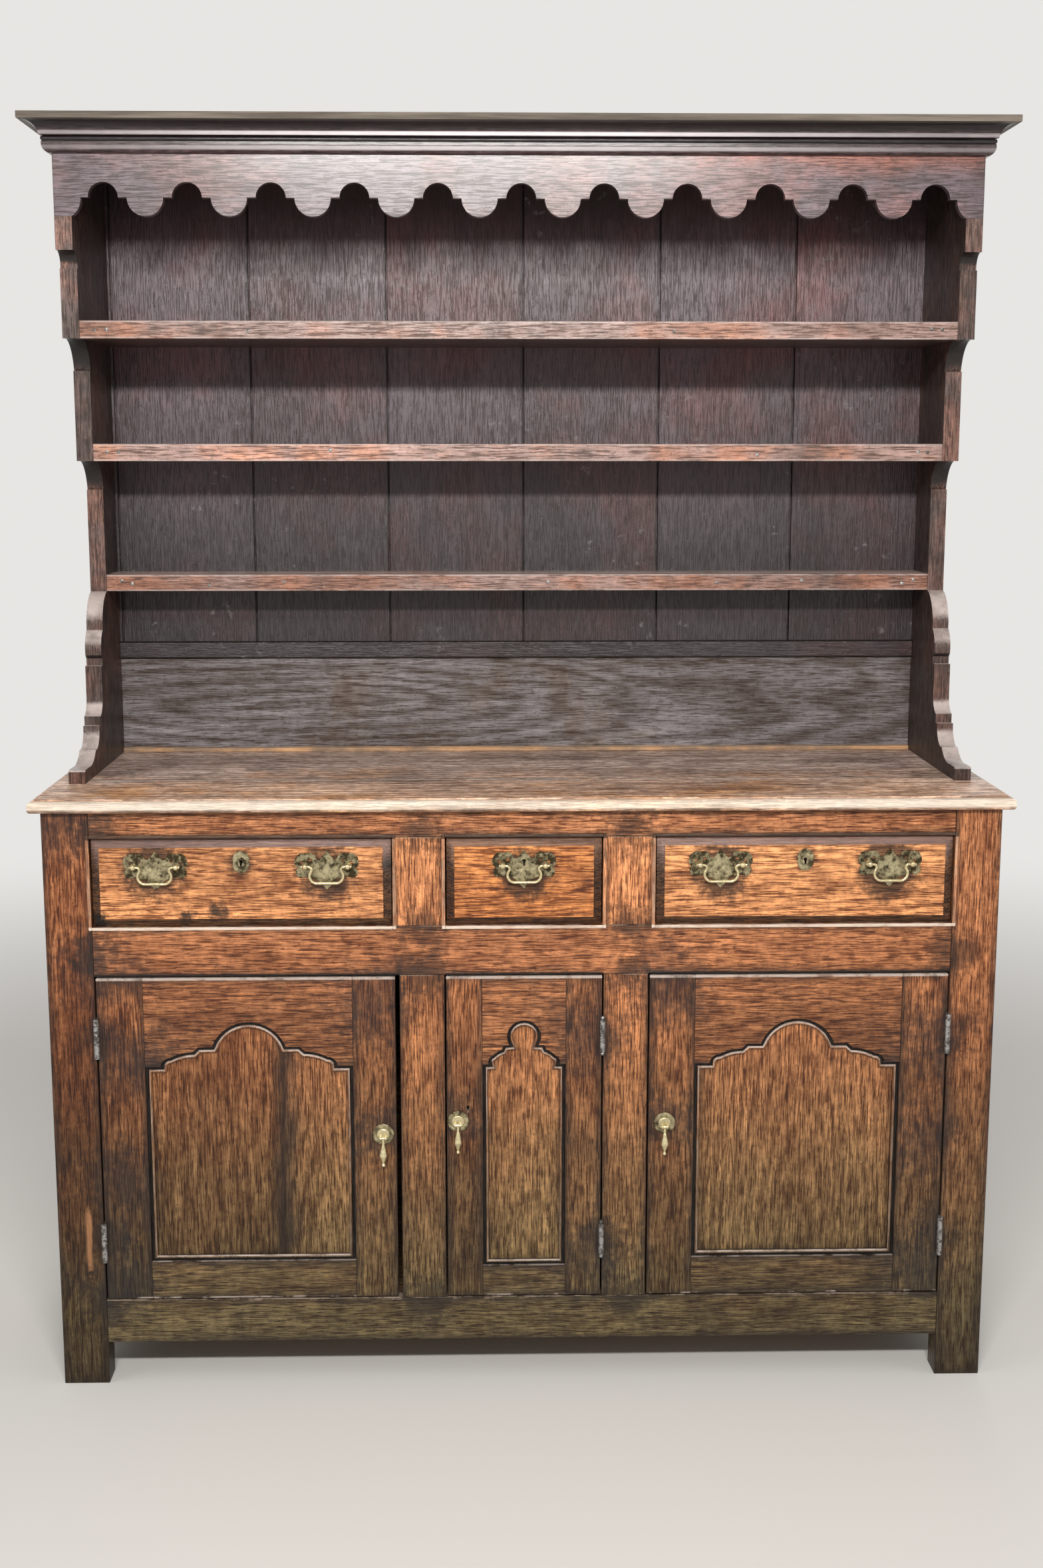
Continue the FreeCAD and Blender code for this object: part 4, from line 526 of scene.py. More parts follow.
def frame_oak():
    """Rails, stiles and muntins of the base."""
    wood = Wood("frame_oak")
    colour = wood.darkened(wood.front_colour(), wood.ends(0.016) * 0.55 + wood.patchy(7.0, 0.56, 0.80) * 0.5)
    colour = wood.darkened(colour, wood.near(HINGES, 0.01, 0.055) * 0.6)
    colour = wood.darkened(colour, wood.near(JOINTS, 0.012, 0.050, 0.10) * (0.40 + wood.grit * 0.50))
    colour = wood.darkened(colour, wood.near(SMOKE, 0.005, 0.090, 0.10) * (0.35 + wood.streaks * 0.40), SOOT)
    beside_muntin = abs(abs(wood.x) - MUNTIN_MIDDLE)
    at_doors = wood.step(beside_muntin, MUNTIN_HALF - SOFT_EDGE, MUNTIN_HALF + SOFT_EDGE)
    at_doors = at_doors * wood.fade(abs(wood.x), DOORS_HALF - SOFT_EDGE, DOORS_HALF + SOFT_EDGE)
    # Painted shade: the rail is painted near black along the gap over the doors
    black = wood.band(wood.z, *GAP_SHADE_OVER_DOORS) * at_doors
    colour = wood.darkened(colour, black * 0.95, (0.004, 0.003, 0.003))
    sill = wood.band(wood.z, *LINE_UNDER_DOORS) * at_doors
    colour = wood.lightened(colour, sill * wood.patchy(26.0, 0.56, 0.70) * 0.30)
    patch = wood.line(wood.clouded(wood.x, 0.012), PATCH_ACROSS, 0.002, 0.006)
    patch = patch * wood.line(wood.z + (wood.grit - 0.5) * 0.03, PATCH_UP, 0.030, 0.060)
    colour = wood.lightened(colour, patch * 0.75, (0.46, 0.22, 0.10))
    colour = wood.darkened(colour, wood.seams() * 0.75)
    dust = wood.up() * wood.patchy(30.0, 0.40, 0.60)
    return wood.waxed(wood.lightened(colour, dust * 0.55))


def drawer_oak():
    """Fronts of the drawers, rubbed bright in the field and dark round the brass, with painted shade in the
    bevels, a painted sheen on the upper bevel and a painted highlight on the field's upper arris.
    """
    wood = Wood("drawer_oak", ring_width=0.010)
    colour = wood.front_colour(1.22, streak=0.28, ring=0.42, fleck=0.48, fine=0.62, grit=0.54)
    colour = wood.tinted(colour, (1.0, 1.07, 1.03))
    stain = wood.near(HANDLES, 0.030, 0.058) * 0.80
    stain = stain.high(wood.near(KEYHOLES, 0.010, 0.026, 0.02) * 0.7)
    stain = stain.high(wood.near(BURNS, 0.003, 0.020, 0.035) * 0.9)
    colour = wood.darkened(colour, stain + wood.patchy(6.0, 0.60, 0.82) * 0.4)
    sunk = wood.y - BASE_FACE
    # Painted light in the bevels: a sheen where they face up, painted shade where they face sideways or down
    bevel_sheen = wood.mix(wood.streaks, (0.16, 0.10, 0.09), (0.34, 0.22, 0.19))
    bevel = wood.mix(wood.up(0.05), wood.shaded(colour, 0.075), bevel_sheen)
    colour = wood.mix(wood.step(sunk, 0.0007, 0.0015) * 0.95, colour, bevel)
    # A pale line on the upward arris of the field: a painted highlight
    arris = wood.band(sunk, 0.0001, 0.0005, 0.0010, 0.0017)
    colour = wood.lightened(colour, arris * wood.up(0.05) * 0.55)
    orange = wood.fade(abs(wood.x), *MIDDLE_DRAWER_EDGE) * 0.75
    return wood.waxed(wood.mix(orange, colour, wood.tinted(colour, (1.04, 0.86, 0.58))))


def door_oak():
    """Stiles and rails of the doors, with a pale line along the head and dust along the foot."""
    wood = Wood("door_oak", ring_width=0.011)
    colour = wood.front_colour(0.89, ring=0.36)
    colour = wood.darkened(colour, wood.ends(0.016) * 0.6 + wood.patchy(7.0, 0.54, 0.78) * 0.5)
    stain = wood.near(HINGES, 0.015, 0.070, 0.08) * 0.92
    stain = stain.high(wood.near(PULLS, 0.012, 0.058, 0.08) * 0.70)
    stain = stain.high(wood.near(SMOKE, 0.0, 0.105, 0.12) * 0.80)
    colour = wood.darkened(colour, stain * (0.55 + wood.streaks * 0.40), SOOT)
    colour = wood.darkened(colour, wood.seams() * 0.8)
    head = wood.step(wood.z, DOOR_HEAD - 0.0048, DOOR_HEAD - 0.0030)
    head = head * (0.35 + wood.patchy(24.0, 0.36, 0.52) * 0.65)
    foot = wood.fade(wood.z, DOOR_FOOT + 0.0015, DOOR_FOOT + 0.0035) * wood.patchy(22.0, 0.52, 0.62)
    dust = wood.up() * wood.patchy(30.0, 0.36, 0.56)
    rub = (head * 0.85).high(foot * 0.6).high(dust * 0.75)
    return wood.waxed(wood.lightened(colour, rub, (0.60, 0.50, 0.44)))


def bead_oak():
    """The bead round a panel: painted shade in its quirk, and lighter where it is proud and where it faces up,
    partly rubbed and partly a painted highlight.
    """
    wood = Wood("bead_oak")
    sunk = wood.y - BASE_FACE
    # Lighter on the crest and on upward faces: rubbed, and a painted highlight
    crest = wood.fade(sunk, 0.0010, 0.0026) * (0.15 + wood.patchy(20.0, 0.44, 0.62) * 0.45)
    colour = wood.lightened(wood.front_colour(0.75), crest, (0.30, 0.215, 0.160))
    rub = wood.up(0.1) * (0.30 + wood.patchy(34.0, 0.36, 0.56) * 0.60)
    colour = wood.lightened(colour, rub, (0.66, 0.55, 0.48))
    # Painted shade: the quirk is painted near black
    quirk = wood.step(sunk, 0.0024, 0.0046)
    return wood.waxed(wood.darkened(colour, quirk * 0.97, (0.006, 0.005, 0.005)), rough=0.36)


def drawer_bead_oak():
    """The thin beads round the drawers: painted shade over the gap, rubbed pale at the sides and nearly white
    below.
    """
    wood = Wood("drawer_bead_oak")
    side = 0.20 + wood.patchy(16.0, 0.42, 0.60) * 0.35
    colour = wood.lightened(wood.front_colour(0.80), side, (0.56, 0.38, 0.27))
    below = wood.fade(wood.z, DRAWER_FOOT - SOFT_EDGE, DRAWER_FOOT + SOFT_EDGE)
    colour = wood.lightened(colour, below * (0.45 + wood.patchy(18.0, 0.34, 0.54) * 0.50), (0.80, 0.66, 0.55))
    # Painted shade where the bead meets the gap over the drawer
    over = wood.step(wood.z, DRAWER_HEAD - SOFT_EDGE, DRAWER_HEAD + SOFT_EDGE)
    return wood.waxed(wood.darkened(colour, over * 0.85))


def panel_oak():
    """Door panels, with open year rings and dark corners, darker low down: partly grime, partly painted shade.
    """
    wood = Wood("panel_oak", ring_width=0.014, ring_depth=0.05, ring_slope=0.16)
    base = wood.ramp(wood.clouded(wood.z, 0.16), PANEL_OAK)
    colour = wood.oak_colour(base, streak=0.42, ring=0.36, pore=0.70)
    colour = wood.darkened(colour, wood.ends(0.030) * 0.8 + wood.patchy(8.0, 0.58, 0.80) * 0.4)
    return wood.waxed(colour, rough=0.40)


def top_oak():
    """Top of the base: greyed by use, rubbed almost white along its front edge, with painted shade along the
    lower lip of its nose.
    """
    wood = Wood("top_oak", ring_width=0.018)
    warm = wood.fade(wood.clouded(wood.y, 0.5), -0.24, 0.08)
    base = wood.mix(warm, (0.58, 0.445, 0.385), (0.86, 0.570, 0.405))
    base = wood.mix(warm * wood.patchy(5.0, 0.48, 0.60) * 0.8, base, (0.78, 0.400, 0.170))
    colour = wood.oak_colour(base, streak=0.48, ring=0.32, grit=0.62)
    colour = wood.darkened(colour, wood.patchy(8.0, 0.50, 0.74) * 0.60)
    colour = wood.darkened(colour, wood.line(wood.y, TOP_SEAM, 0.0006, 0.0026) * 0.8)
    before = wood.line(wood.y + (wood.grit - 0.5) * 0.004, TOP_SEAM - 0.0050, 0.0012, 0.0060)
    colour = wood.lightened(colour, before * wood.patchy(14.0, 0.44, 0.56) * 0.75, (0.74, 0.67, 0.62))
    nose = wood.fade(wood.y, TOP_NOSE + 0.003, TOP_NOSE + 0.013)
    rubbed = nose * wood.step(wood.facing, -0.5, 0.1) * (0.55 + wood.streaks * 0.45)
    colour = wood.lightened(colour, rubbed, (0.84, 0.745, 0.63))
    # Painted shade along the lower lip of the nose
    lip = nose * wood.fade(wood.z, TOP_UNDERSIDE + 0.0035, TOP_UNDERSIDE + 0.0070)
    colour = wood.darkened(colour, lip * (0.35 + wood.patchy(14.0, 0.40, 0.60) * 0.45), (0.12, 0.075, 0.050))
    return wood.waxed(colour, rough=0.34, shine=0.5)


def frieze_oak():
    """The frieze, polished so that it shines grey, redder in its upper right part, with painted shade where it
    faces down.
    """
    wood = Wood("frieze_oak", ring_width=0.012)
    upper = wood.step(wood.clouded(wood.z, 0.06), FRIEZE_FOOT + 0.050, FRIEZE_FOOT + 0.100)
    red = wood.step(wood.clouded(wood.x, 0.4), 0.10, 0.45) * upper
    red = red.high(wood.patchy(5.0, 0.48, 0.62) * 0.35)
    base = wood.mix(red, (0.112, 0.078, 0.092), (0.290, 0.098, 0.066))
    colour = wood.oak_colour(base, streak=0.30, fine=0.55, grit=0.45)
    colour = wood.darkened(colour, wood.patchy(8.0, 0.50, 0.76) * 0.20 + wood.seams(0.003) * 0.5)
    # Painted shade where the frieze faces down
    colour = wood.darkened(colour, wood.down() * 0.8)
    return wood.waxed(colour, rough=0.37, coat=0.52, shine=0.5, lift=0.0004)


def shelf_oak():
    """The shelves: a film of dust on top, painted shade beneath, and pale arrises along the edge that faces the
    room, partly wear and partly a painted highlight.
    """
    wood = Wood("shelf_oak", ring_width=0.012)
    base = wood.mix(wood.patchy(5.0, 0.44, 0.62), (0.31, 0.195, 0.168), (0.40, 0.180, 0.110))
    colour = wood.oak_colour(base, streak=0.32, ring=0.12, fine=0.52, grit=0.42)
    colour = wood.darkened(colour, wood.patchy(8.0, 0.50, 0.72) * 0.55)
    # Painted shade where the shelves face down
    colour = wood.darkened(colour, wood.down() * 0.8)
    # Pale arrises and rounded upward edges: wear, and a painted highlight
    arris = wood.fade(wood.edge, 0.0012, 0.0040) * wood.patchy(18.0, 0.34, 0.56)
    flat = wood.step(wood.facing, 0.85, 0.97)
    film = flat * (0.22 + wood.patchy(2.5, 0.36, 0.66) * 0.22 + wood.streaks * 0.12)
    rounded = wood.up() * (1.0 - flat) * wood.patchy(24.0, 0.34, 0.58)
    pale = (rounded * 0.8).high(film).high(arris * 0.55)
    colour = wood.lightened(colour, pale, (0.58, 0.48, 0.45))
    return wood.waxed(colour, rough=0.34, coat=0.3, shine=0.5, lift=0.0005)


def cornice_oak():
    """The cornice: dull along the top fillet, with painted shade in the hollows and painted highlights where
    the mouldings swell, brightest in the middle.
    """
    wood = Wood("cornice_oak")
    share = (wood.z - CORNICE_FOOT) / (CORNICE_HEAD - CORNICE_FOOT)
    colour = wood.oak_colour((0.060, 0.038, 0.040), streak=0.40, ring=0.10)
    # Painted shade in the hollows
    hollow = wood.step(share, 0.54, 0.68).high(wood.line(share, 0.36, 0.07, 0.11))
    colour = wood.darkened(colour, hollow * 0.85, (0.008, 0.006, 0.007))
    # Painted highlights on the swelling mouldings, strongest in the middle and weaker towards the ends
    swell = wood.line(share, 0.520, 0.025, 0.070).high(wood.line(share, 0.140, 0.025, 0.080) * 0.65)
    middle = wood.step(abs(wood.x + 0.05), 0.10, 0.70, 1.0, 0.30) * (0.60 + wood.cloud * 0.80)
    colour = wood.lightened(colour, swell * middle, (0.80, 0.75, 0.77))
    fillet = wood.step(share, 0.80, 0.83)
    dry = wood.mix(wood.streaks, (0.100, 0.080, 0.064), (0.225, 0.190, 0.155))
    colour = wood.mix(fillet, colour, dry)
    return wood.waxed(colour, rough=0.32 + fillet * 0.36, coat=0.3 - fillet * 0.3, shine=0.3, lift=0.0003)


def inside_oak():
    """Dry boards: the inside and back of the base, the drawers' boxes and the board over the rack."""
    wood = Wood("inside_oak", ring_width=0.015, ring_depth=0.06, ring_slope=0.14)
    colour = wood.oak_colour((0.26, 0.165, 0.090), streak=0.60, ring=0.30, pore=0.5, fine=0.60, grit=0.60)
    colour = wood.darkened(colour, wood.patchy(6.0, 0.50, 0.78) * 0.5 + wood.seams(0.0035) * 0.9)
    scuff = wood.patchy(55.0, 0.62, 0.70) * wood.patchy(5.0, 0.54, 0.60)
    colour = wood.lightened(colour, scuff * 0.30, (0.42, 0.38, 0.38))
    return wood.waxed(colour, rough=0.5, shine=0.4, lift=0.0007)


def rack_back_oak():
    """Boards at the back of the rack: darker towards the bottom, with painted shade, dark and red, under the
    frieze and the shelves, and scuffs of plates.
    """
    wood = Wood("rack_back_oak", ring_width=0.015, ring_depth=0.06, ring_slope=0.14)
    # Darker towards the bottom of the rack
    darker_low = wood.step(wood.clouded(wood.z, 0.2), 1.18, 1.74, 0.28, 1.20)
    base = wood.mix(wood.patchy(4.0, 0.46, 0.66), (0.098, 0.069, 0.081), (0.125, 0.055, 0.056))
    base = wood.shaded(base, darker_low)
    colour = wood.oak_colour(base, streak=0.28, ring=0.15, pore=0.45, fine=0.32, grit=0.30)
    # Painted shadows of the frieze and the shelves: the boards darker and redder in bands under them
    shade = wood.step(wood.z, FRIEZE_SHADE, FRIEZE_SHADE + 0.050)
    for under in SHELF_UNDERSIDES:
        shade = shade.high(wood.band(wood.z, under - 0.066, under - 0.052, under, under + 0.004))
    front = wood.fade(wood.y, BOARD_BACK - 0.006, BOARD_BACK - 0.004)
    colour = wood.mix(shade * front * 0.85, colour, wood.tinted(colour, (0.72, 0.40, 0.43)))
    # Deeper painted shade in the arches under the frieze
    arches = wood.step(wood.z, FRIEZE_SHADE + 0.030, FRIEZE_SHADE + 0.110)
    colour = wood.darkened(colour, arches * front * 0.75)
    colour = wood.darkened(colour, wood.patchy(6.0, 0.52, 0.80) * 0.45 + wood.seams(0.0040) * 0.95)
    scuff = wood.patchy(48.0, 0.60, 0.68) * wood.patchy(5.0, 0.52, 0.60)
    colour = wood.lightened(colour, scuff * 0.30, (0.36, 0.34, 0.34))
    return wood.waxed(colour, rough=0.40, coat=0.12, shine=0.55, lift=0.0006)


def low_back_oak():
    """The broad board behind the top, grey with open rings, and the worn strip along its foot."""
    wood = Wood("low_back_oak", ring_width=0.019, ring_depth=0.045, ring_slope=0.12)
    base = wood.mix(wood.patchy(6.0, 0.50, 0.68), (0.176, 0.160, 0.166), (0.186, 0.148, 0.130))
    colour = wood.oak_colour(base, streak=0.34, ring=0.44, pore=0.55, fine=0.50, grit=0.30)
    pale = wood.patchy(40.0, 0.58, 0.72) * wood.streaks * 0.25
    colour = wood.lightened(colour, pale, (0.36, 0.34, 0.33))
    colour = wood.darkened(colour, wood.patchy(6.0, 0.52, 0.78) * 0.5 + wood.seams(0.0035) * 0.9)
    strip = wood.fade(wood.z, STRIP_HEAD + 0.0004, STRIP_HEAD + 0.0008)
    warm = wood.mix(wood.patchy(9.0, 0.42, 0.62), (0.30, 0.205, 0.140), (0.58, 0.340, 0.180))
    colour = wood.mix(strip, colour, wood.shaded(warm, 0.75 + wood.fine * 0.5))
    return wood.waxed(colour, rough=0.5, shine=0.3, lift=0.0005)


def rack_side_oak():
    """Sides of the rack: dark boards whose scrolled edges are pale above, partly wear and partly a painted
    highlight, and painted near black beneath as shade.
    """
    wood = Wood("rack_side_oak", ring_width=0.012)
    base = wood.mix(wood.patchy(5.0, 0.46, 0.60), (0.046, 0.032, 0.029), (0.085, 0.044, 0.034))
    scroll = wood.fade(abs(wood.sideways), 0.35, 0.65)
    edge = wood.mix(wood.patchy(7.0, 0.40, 0.62), (0.085, 0.056, 0.050), (0.165, 0.080, 0.058))
    colour = wood.oak_colour(wood.mix(scroll, base, edge))
    colour = wood.darkened(colour, wood.patchy(9.0, 0.50, 0.76) * 0.5 + wood.seams(0.003) * 0.4)
    # Painted shade, near black, where the sides face down
    colour = wood.darkened(colour, wood.down(0.10) * 0.95, (0.008, 0.006, 0.006))
    # Pale where the scrolled edges face up: wear, and a painted highlight
    pale = wood.up(0.16) * scroll * (0.50 + wood.patchy(24.0, 0.34, 0.58) * 0.45)
    colour = wood.lightened(colour, pale, (0.58, 0.49, 0.46))
    return wood.waxed(colour, rough=0.40, coat=scroll * 0.3, shine=0.35, lift=0.0006)


def aged_brass():
    """Brass that is rubbed bright on what stands out and brown in what lies low."""
    metal = Finish("aged_brass")
    dull = metal.noise(metal.spot, 110.0, 4.0, 0.6)
    specks = metal.step(metal.noise(metal.spot, 800.0, 2.0), 0.56, 0.70)
    blotch = metal.step(metal.noise(metal.spot, 75.0, 3.0, 0.6), 0.42, 0.62)
    low = metal.step(metal.parts(metal.spot)[1], BASE_FACE - 0.0075, BASE_FACE - 0.001)
    from_hole = metal.distance(KEYHOLES)
    rim = metal.step(metal.distance(HANDLES), 0.010, 0.034)
    rim = rim.low(metal.step(metal.distance(PULLS), 0.011, 0.020))
    rim = rim.low(metal.step(from_hole, 0.010, 0.020)) * low
    ring = metal.band(from_hole, 0.0035, 0.0050, 0.0072, 0.0095)
    tarnish = metal.step(dull, 0.30, 0.75) * (0.15 + low * 0.35) + rim * 0.26 + ring * 0.30
    tarnish = (tarnish + specks * 0.20 + low * (blotch * 0.36 + 0.22) + 0.05).low(1.0)
    colour = metal.mix(tarnish, (0.84, 0.73, 0.44), (0.050, 0.038, 0.020))
    return metal.close(colour, 0.20 + tarnish * 0.32, dull - specks * 0.3, 0.0011, {"Metallic": 0.95})


def old_iron():
    """Iron of the hinges, locks and nails, rubbed grey in places."""
    metal = Finish("old_iron")
    dull = metal.noise(metal.spot, 160.0, 4.0, 0.65)
    colour = metal.mix(metal.step(dull, 0.40, 0.62), (0.40, 0.39, 0.38), (0.10, 0.085, 0.075))
    return metal.close(colour, 0.38 + dull * 0.25, dull, 0.0004, {"Metallic": 0.8})


def flat_faces(places, faces):
    """A solid's places and faces with the triangles of each flat face joined."""
    mesh = bmesh.new()
    corners = [mesh.verts.new(place) for place in places]
    for face in faces:
        mesh.faces.new([corners[number] for number in face])
    bmesh.ops.dissolve_limit(mesh, angle_limit=math.radians(FLAT_ANGLE), verts=mesh.verts, edges=mesh.edges)
    mesh.verts.index_update()
    places = [vertex.co.copy() for vertex in mesh.verts]
    faces = [tuple(vertex.index for vertex in face.verts) for face in mesh.faces]
    mesh.free()
    return places, faces


def solids_of(node):
    """The separate solids of a node, each a list of places and a list of flat faces."""
    mesh = frame["nodes"][node].data
    corner_at, corner_of = {}, []
    for vertex in mesh.vertices:
        key = tuple(round(part, SAME_PLACE_DIGITS) for part in vertex.co)
        corner_of.append(corner_at.setdefault(key, len(corner_at)))
    faces = []
    for polygon in mesh.polygons:
        face = tuple(corner_of[corner] for corner in polygon.vertices)
        if len(set(face)) == len(face):
            faces.append(face)
    sharers = {}
    for number, face in enumerate(faces):
        for start, stop in zip(face, face[1:] + face[:1]):
            sharers.setdefault((min(start, stop), max(start, stop)), []).append(number)
    lead = list(range(len(faces)))

    def first(number):
        while lead[number] != number:
            lead[number] = lead[lead[number]]
            number = lead[number]
        return number

    for numbers in sharers.values():
        if len(numbers) == 2:
            lead[first(numbers[0])] = first(numbers[1])
    groups = {}
    for number, face in enumerate(faces):
        groups.setdefault(first(number), []).append(face)
    places = [Vector(key) for key in corner_at]
    solids = []
    for group in groups.values():
        used = {}
        own_faces = [tuple(used.setdefault(corner, len(used)) for corner in face) for face in group]
        solids.append(flat_faces([places[corner] for corner in used], own_faces))
    return solids


def new_piece(name, places, faces, finish, body):
    """A mesh that rides on a body."""
    mesh = bpy.data.meshes.new(name)
    mesh.from_pydata([tuple(place) for place in places], [], faces)
    mesh.validate()
    mesh.materials.append(finish)
    piece = bpy.data.objects.new(name, mesh)
    bpy.context.scene.collection.objects.link(piece)
    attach(piece, body)
    return piece


def soften(piece, arris=0.0, angle=ARRIS_ANGLE):
    """Smooth shading, with the arrises taken off."""
    for polygon in piece.data.polygons:
        polygon.use_smooth = True
    piece.data.set_sharp_from_angle(angle=math.radians(angle))
    if arris:
        bevel = piece.modifiers.new("arris", "BEVEL")
        bevel.width = arris
        bevel.segments = 2
        bevel.limit_method = "ANGLE"
        bevel.angle_limit = math.radians(angle)
        bevel.use_clamp_overlap = True
        piece.modifiers.new("even_light", "WEIGHTED_NORMAL").keep_sharp = False


def hold(mesh, name, rows):
    """Keeps a vector for each vertex."""
    layer = mesh.attributes.new(name, "FLOAT_VECTOR", "POINT")
    layer.data.foreach_set("vector", [part for row in rows for part in row])


def board_facts(places, chance, tone):
    """What the oak finishes need to know of one board: its corners, the way of its grain, its luck and tone."""
    low = Vector([min(place[axis] for place in places) for axis in range(3)])
    high = Vector([max(place[axis] for place in places) for axis in range(3)])
    order = sorted(range(3), key=lambda axis: low[axis] - high[axis])
    return {
        "lowest": low,
        "highest": high,
        "along": AXES[order[0]],
        "across": AXES[order[1]],
        "luck": Vector([chance.uniform(0, LUCK_REACH) for _ in range(3)]),
        "tone": Vector((tone, tone, tone)),
    }


def board_tone(node, places, chance):
    """How light a board is: some by name, and some boards of a node apart from the others."""
    tone = TONES.get(node, 1.0) * chance.uniform(0.92, 1.08)
    if node == "left_door_panel" and max(place.x for place in places) > LEFT_PANEL_JOINT:
        return tone * RIGHT_BOARD_LIFT
    if node == "rack_backboards":
        return tone * chance.uniform(0.80, 1.15)
    return tone


def wood_piece(node, finish):
    """The dressed board or boards of one node, each with a grain of its own."""
    chance = random.Random(node)
    places, faces, rows = [], [], {}
    for own_places, own_faces in solids_of(node):
        facts = board_facts(own_places, chance, board_tone(node, own_places, chance))
        faces += [tuple(number + len(places) for number in face) for face in own_faces]
        places += own_places
        for name, value in facts.items():
            rows.setdefault(name, []).extend([value] * len(own_places))
    piece = new_piece(node + "_oak", places, faces, finish, BODY_OF[node])
    for name, values in rows.items():
        hold(piece.data, name, values)
    soften(piece, WOOD_ARRIS)
    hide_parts(node)


def metal_piece(node, finish):
    """The dressed brass or iron of one node."""
    places, faces = [], []
    for own_places, own_faces in solids_of(node):
        faces += [tuple(number + len(places) for number in face) for face in own_faces]
        places += own_places
    piece = new_piece(node + "_metal", places, faces, finish, BODY_OF[node])
    soften(piece, METAL_ARRIS)
    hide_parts(node)


def arc_points(start, stop, bow, count=ARC_POINTS):
    """Points of an arc after its start. The bow is its rise over half its chord, left turns positive."""
    start, stop = Vector(start), Vector(stop)
    if not bow:
        return [stop]
    chord = stop - start
    reach = (1 - bow * bow) / (4 * bow)
    centre = (start + stop) / 2 + Vector((-chord.y, chord.x)) * reach
    arm = start - centre
    points = []
    for number in range(1, count + 1):
        angle = 4 * math.atan(bow) * number / count
        cosine, sine = math.cos(angle), math.sin(angle)
        points.append(centre + Vector((arm.x * cosine - arm.y * sine, arm.x * sine + arm.y * cosine)))
    return points


def arched_opening(left, right, low, shoulder):
    """The opening of a door panel as seen from the front, from its lower left corner to the right and round."""
    middle, half = (left + right) / 2, (right - left) / 2
    steps = [(middle + half * share, shoulder + ARCH_RISE * rise, bow) for share, rise, bow in ARCH_SHARES]
    path = [Vector((left, low)), Vector((right, low)), Vector(steps[-1][:2])]
    bows = [bow for _, _, bow in reversed(steps[1:])]
    for (across, up, _), bow in zip(reversed(steps[:-1]), bows):
        path += arc_points(path[-1], (across, up), bow)
    crown_share, crown_foot, _ = ARCH_SHARES[0]
    crown_bow = ARCH_RISE * (1 - crown_foot) / (half * crown_share)
    path += arc_points(path[-1], (2 * middle - steps[0][0], steps[0][1]), crown_bow, CROWN_POINTS)
    for across, up, bow in steps[1:]:
        path += arc_points(path[-1], (2 * middle - across, up), bow)
    return path


def bead_profile(width):
    """Section of a bead as pairs of distance from the frame and rise over the panel: quirk first, then bead.
    The quirk is a thin flat strip laid over the panel, a sheet that carries the painted shade of the quirk.
    """
    profile = [(0.0, -BEAD_ROOT), (0.0, BEAD_BED), (BEAD_QUIRK, BEAD_BED)]
    for part in range(1, BEAD_PARTS):
        turn = math.pi * part / BEAD_PARTS
        swell = BEAD_BED + math.sin(turn) * (BEAD_RISE - BEAD_BED)
        profile.append((BEAD_QUIRK + (1 - math.cos(turn)) / 2 * width, swell))
    return profile + [(BEAD_QUIRK + width, -BEAD_ROOT)]


def panel_bead(side, finish, width):
    """The bead that runs round the panel of one door, in the corner between frame and panel."""
    rails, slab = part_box(side + "_door_rails"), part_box(side + "_door_panel")
    path = arched_opening(slab[0].x + PANEL_TONGUE, slab[1].x - PANEL_TONGUE,
                          slab[0].z + PANEL_TONGUE, rails[1].z - TOP_RAIL_HEIGHT)
    profile = bead_profile(width)
    count, sections = len(path), len(profile)
    places, faces = [], []
    for number, corner in enumerate(path):
        before = (corner - path[number - 1]).normalized()
        after = (path[(number + 1) % count] - corner).normalized()
        inward = Vector((-before.y - after.y, before.x + after.x)).normalized()
        square = Vector((-after.y, after.x))
        spread = min(1.0 / max(inward.dot(square), MITRE_GUARD), MITRE_MOST)
        for out, rise in profile:
            off = out * spread
            places.append(Vector((corner.x + inward.x * off, slab[0].y - rise, corner.y + inward.y * off)))
    for number in range(count):
        here, there = number * sections, ((number + 1) % count) * sections
        for part in range(sections):
            follow = (part + 1) % sections
            faces.append((here + part, there + part, there + follow, here + follow))
    piece = new_piece(side + "_door_panel_bead", places, faces, finish, side + "_door")
    for name, value in board_facts(places, random.Random(side + "bead"), 1.0).items():
        hold(piece.data, name, [value] * len(places))
    soften(piece, angle=BEAD_ANGLE)


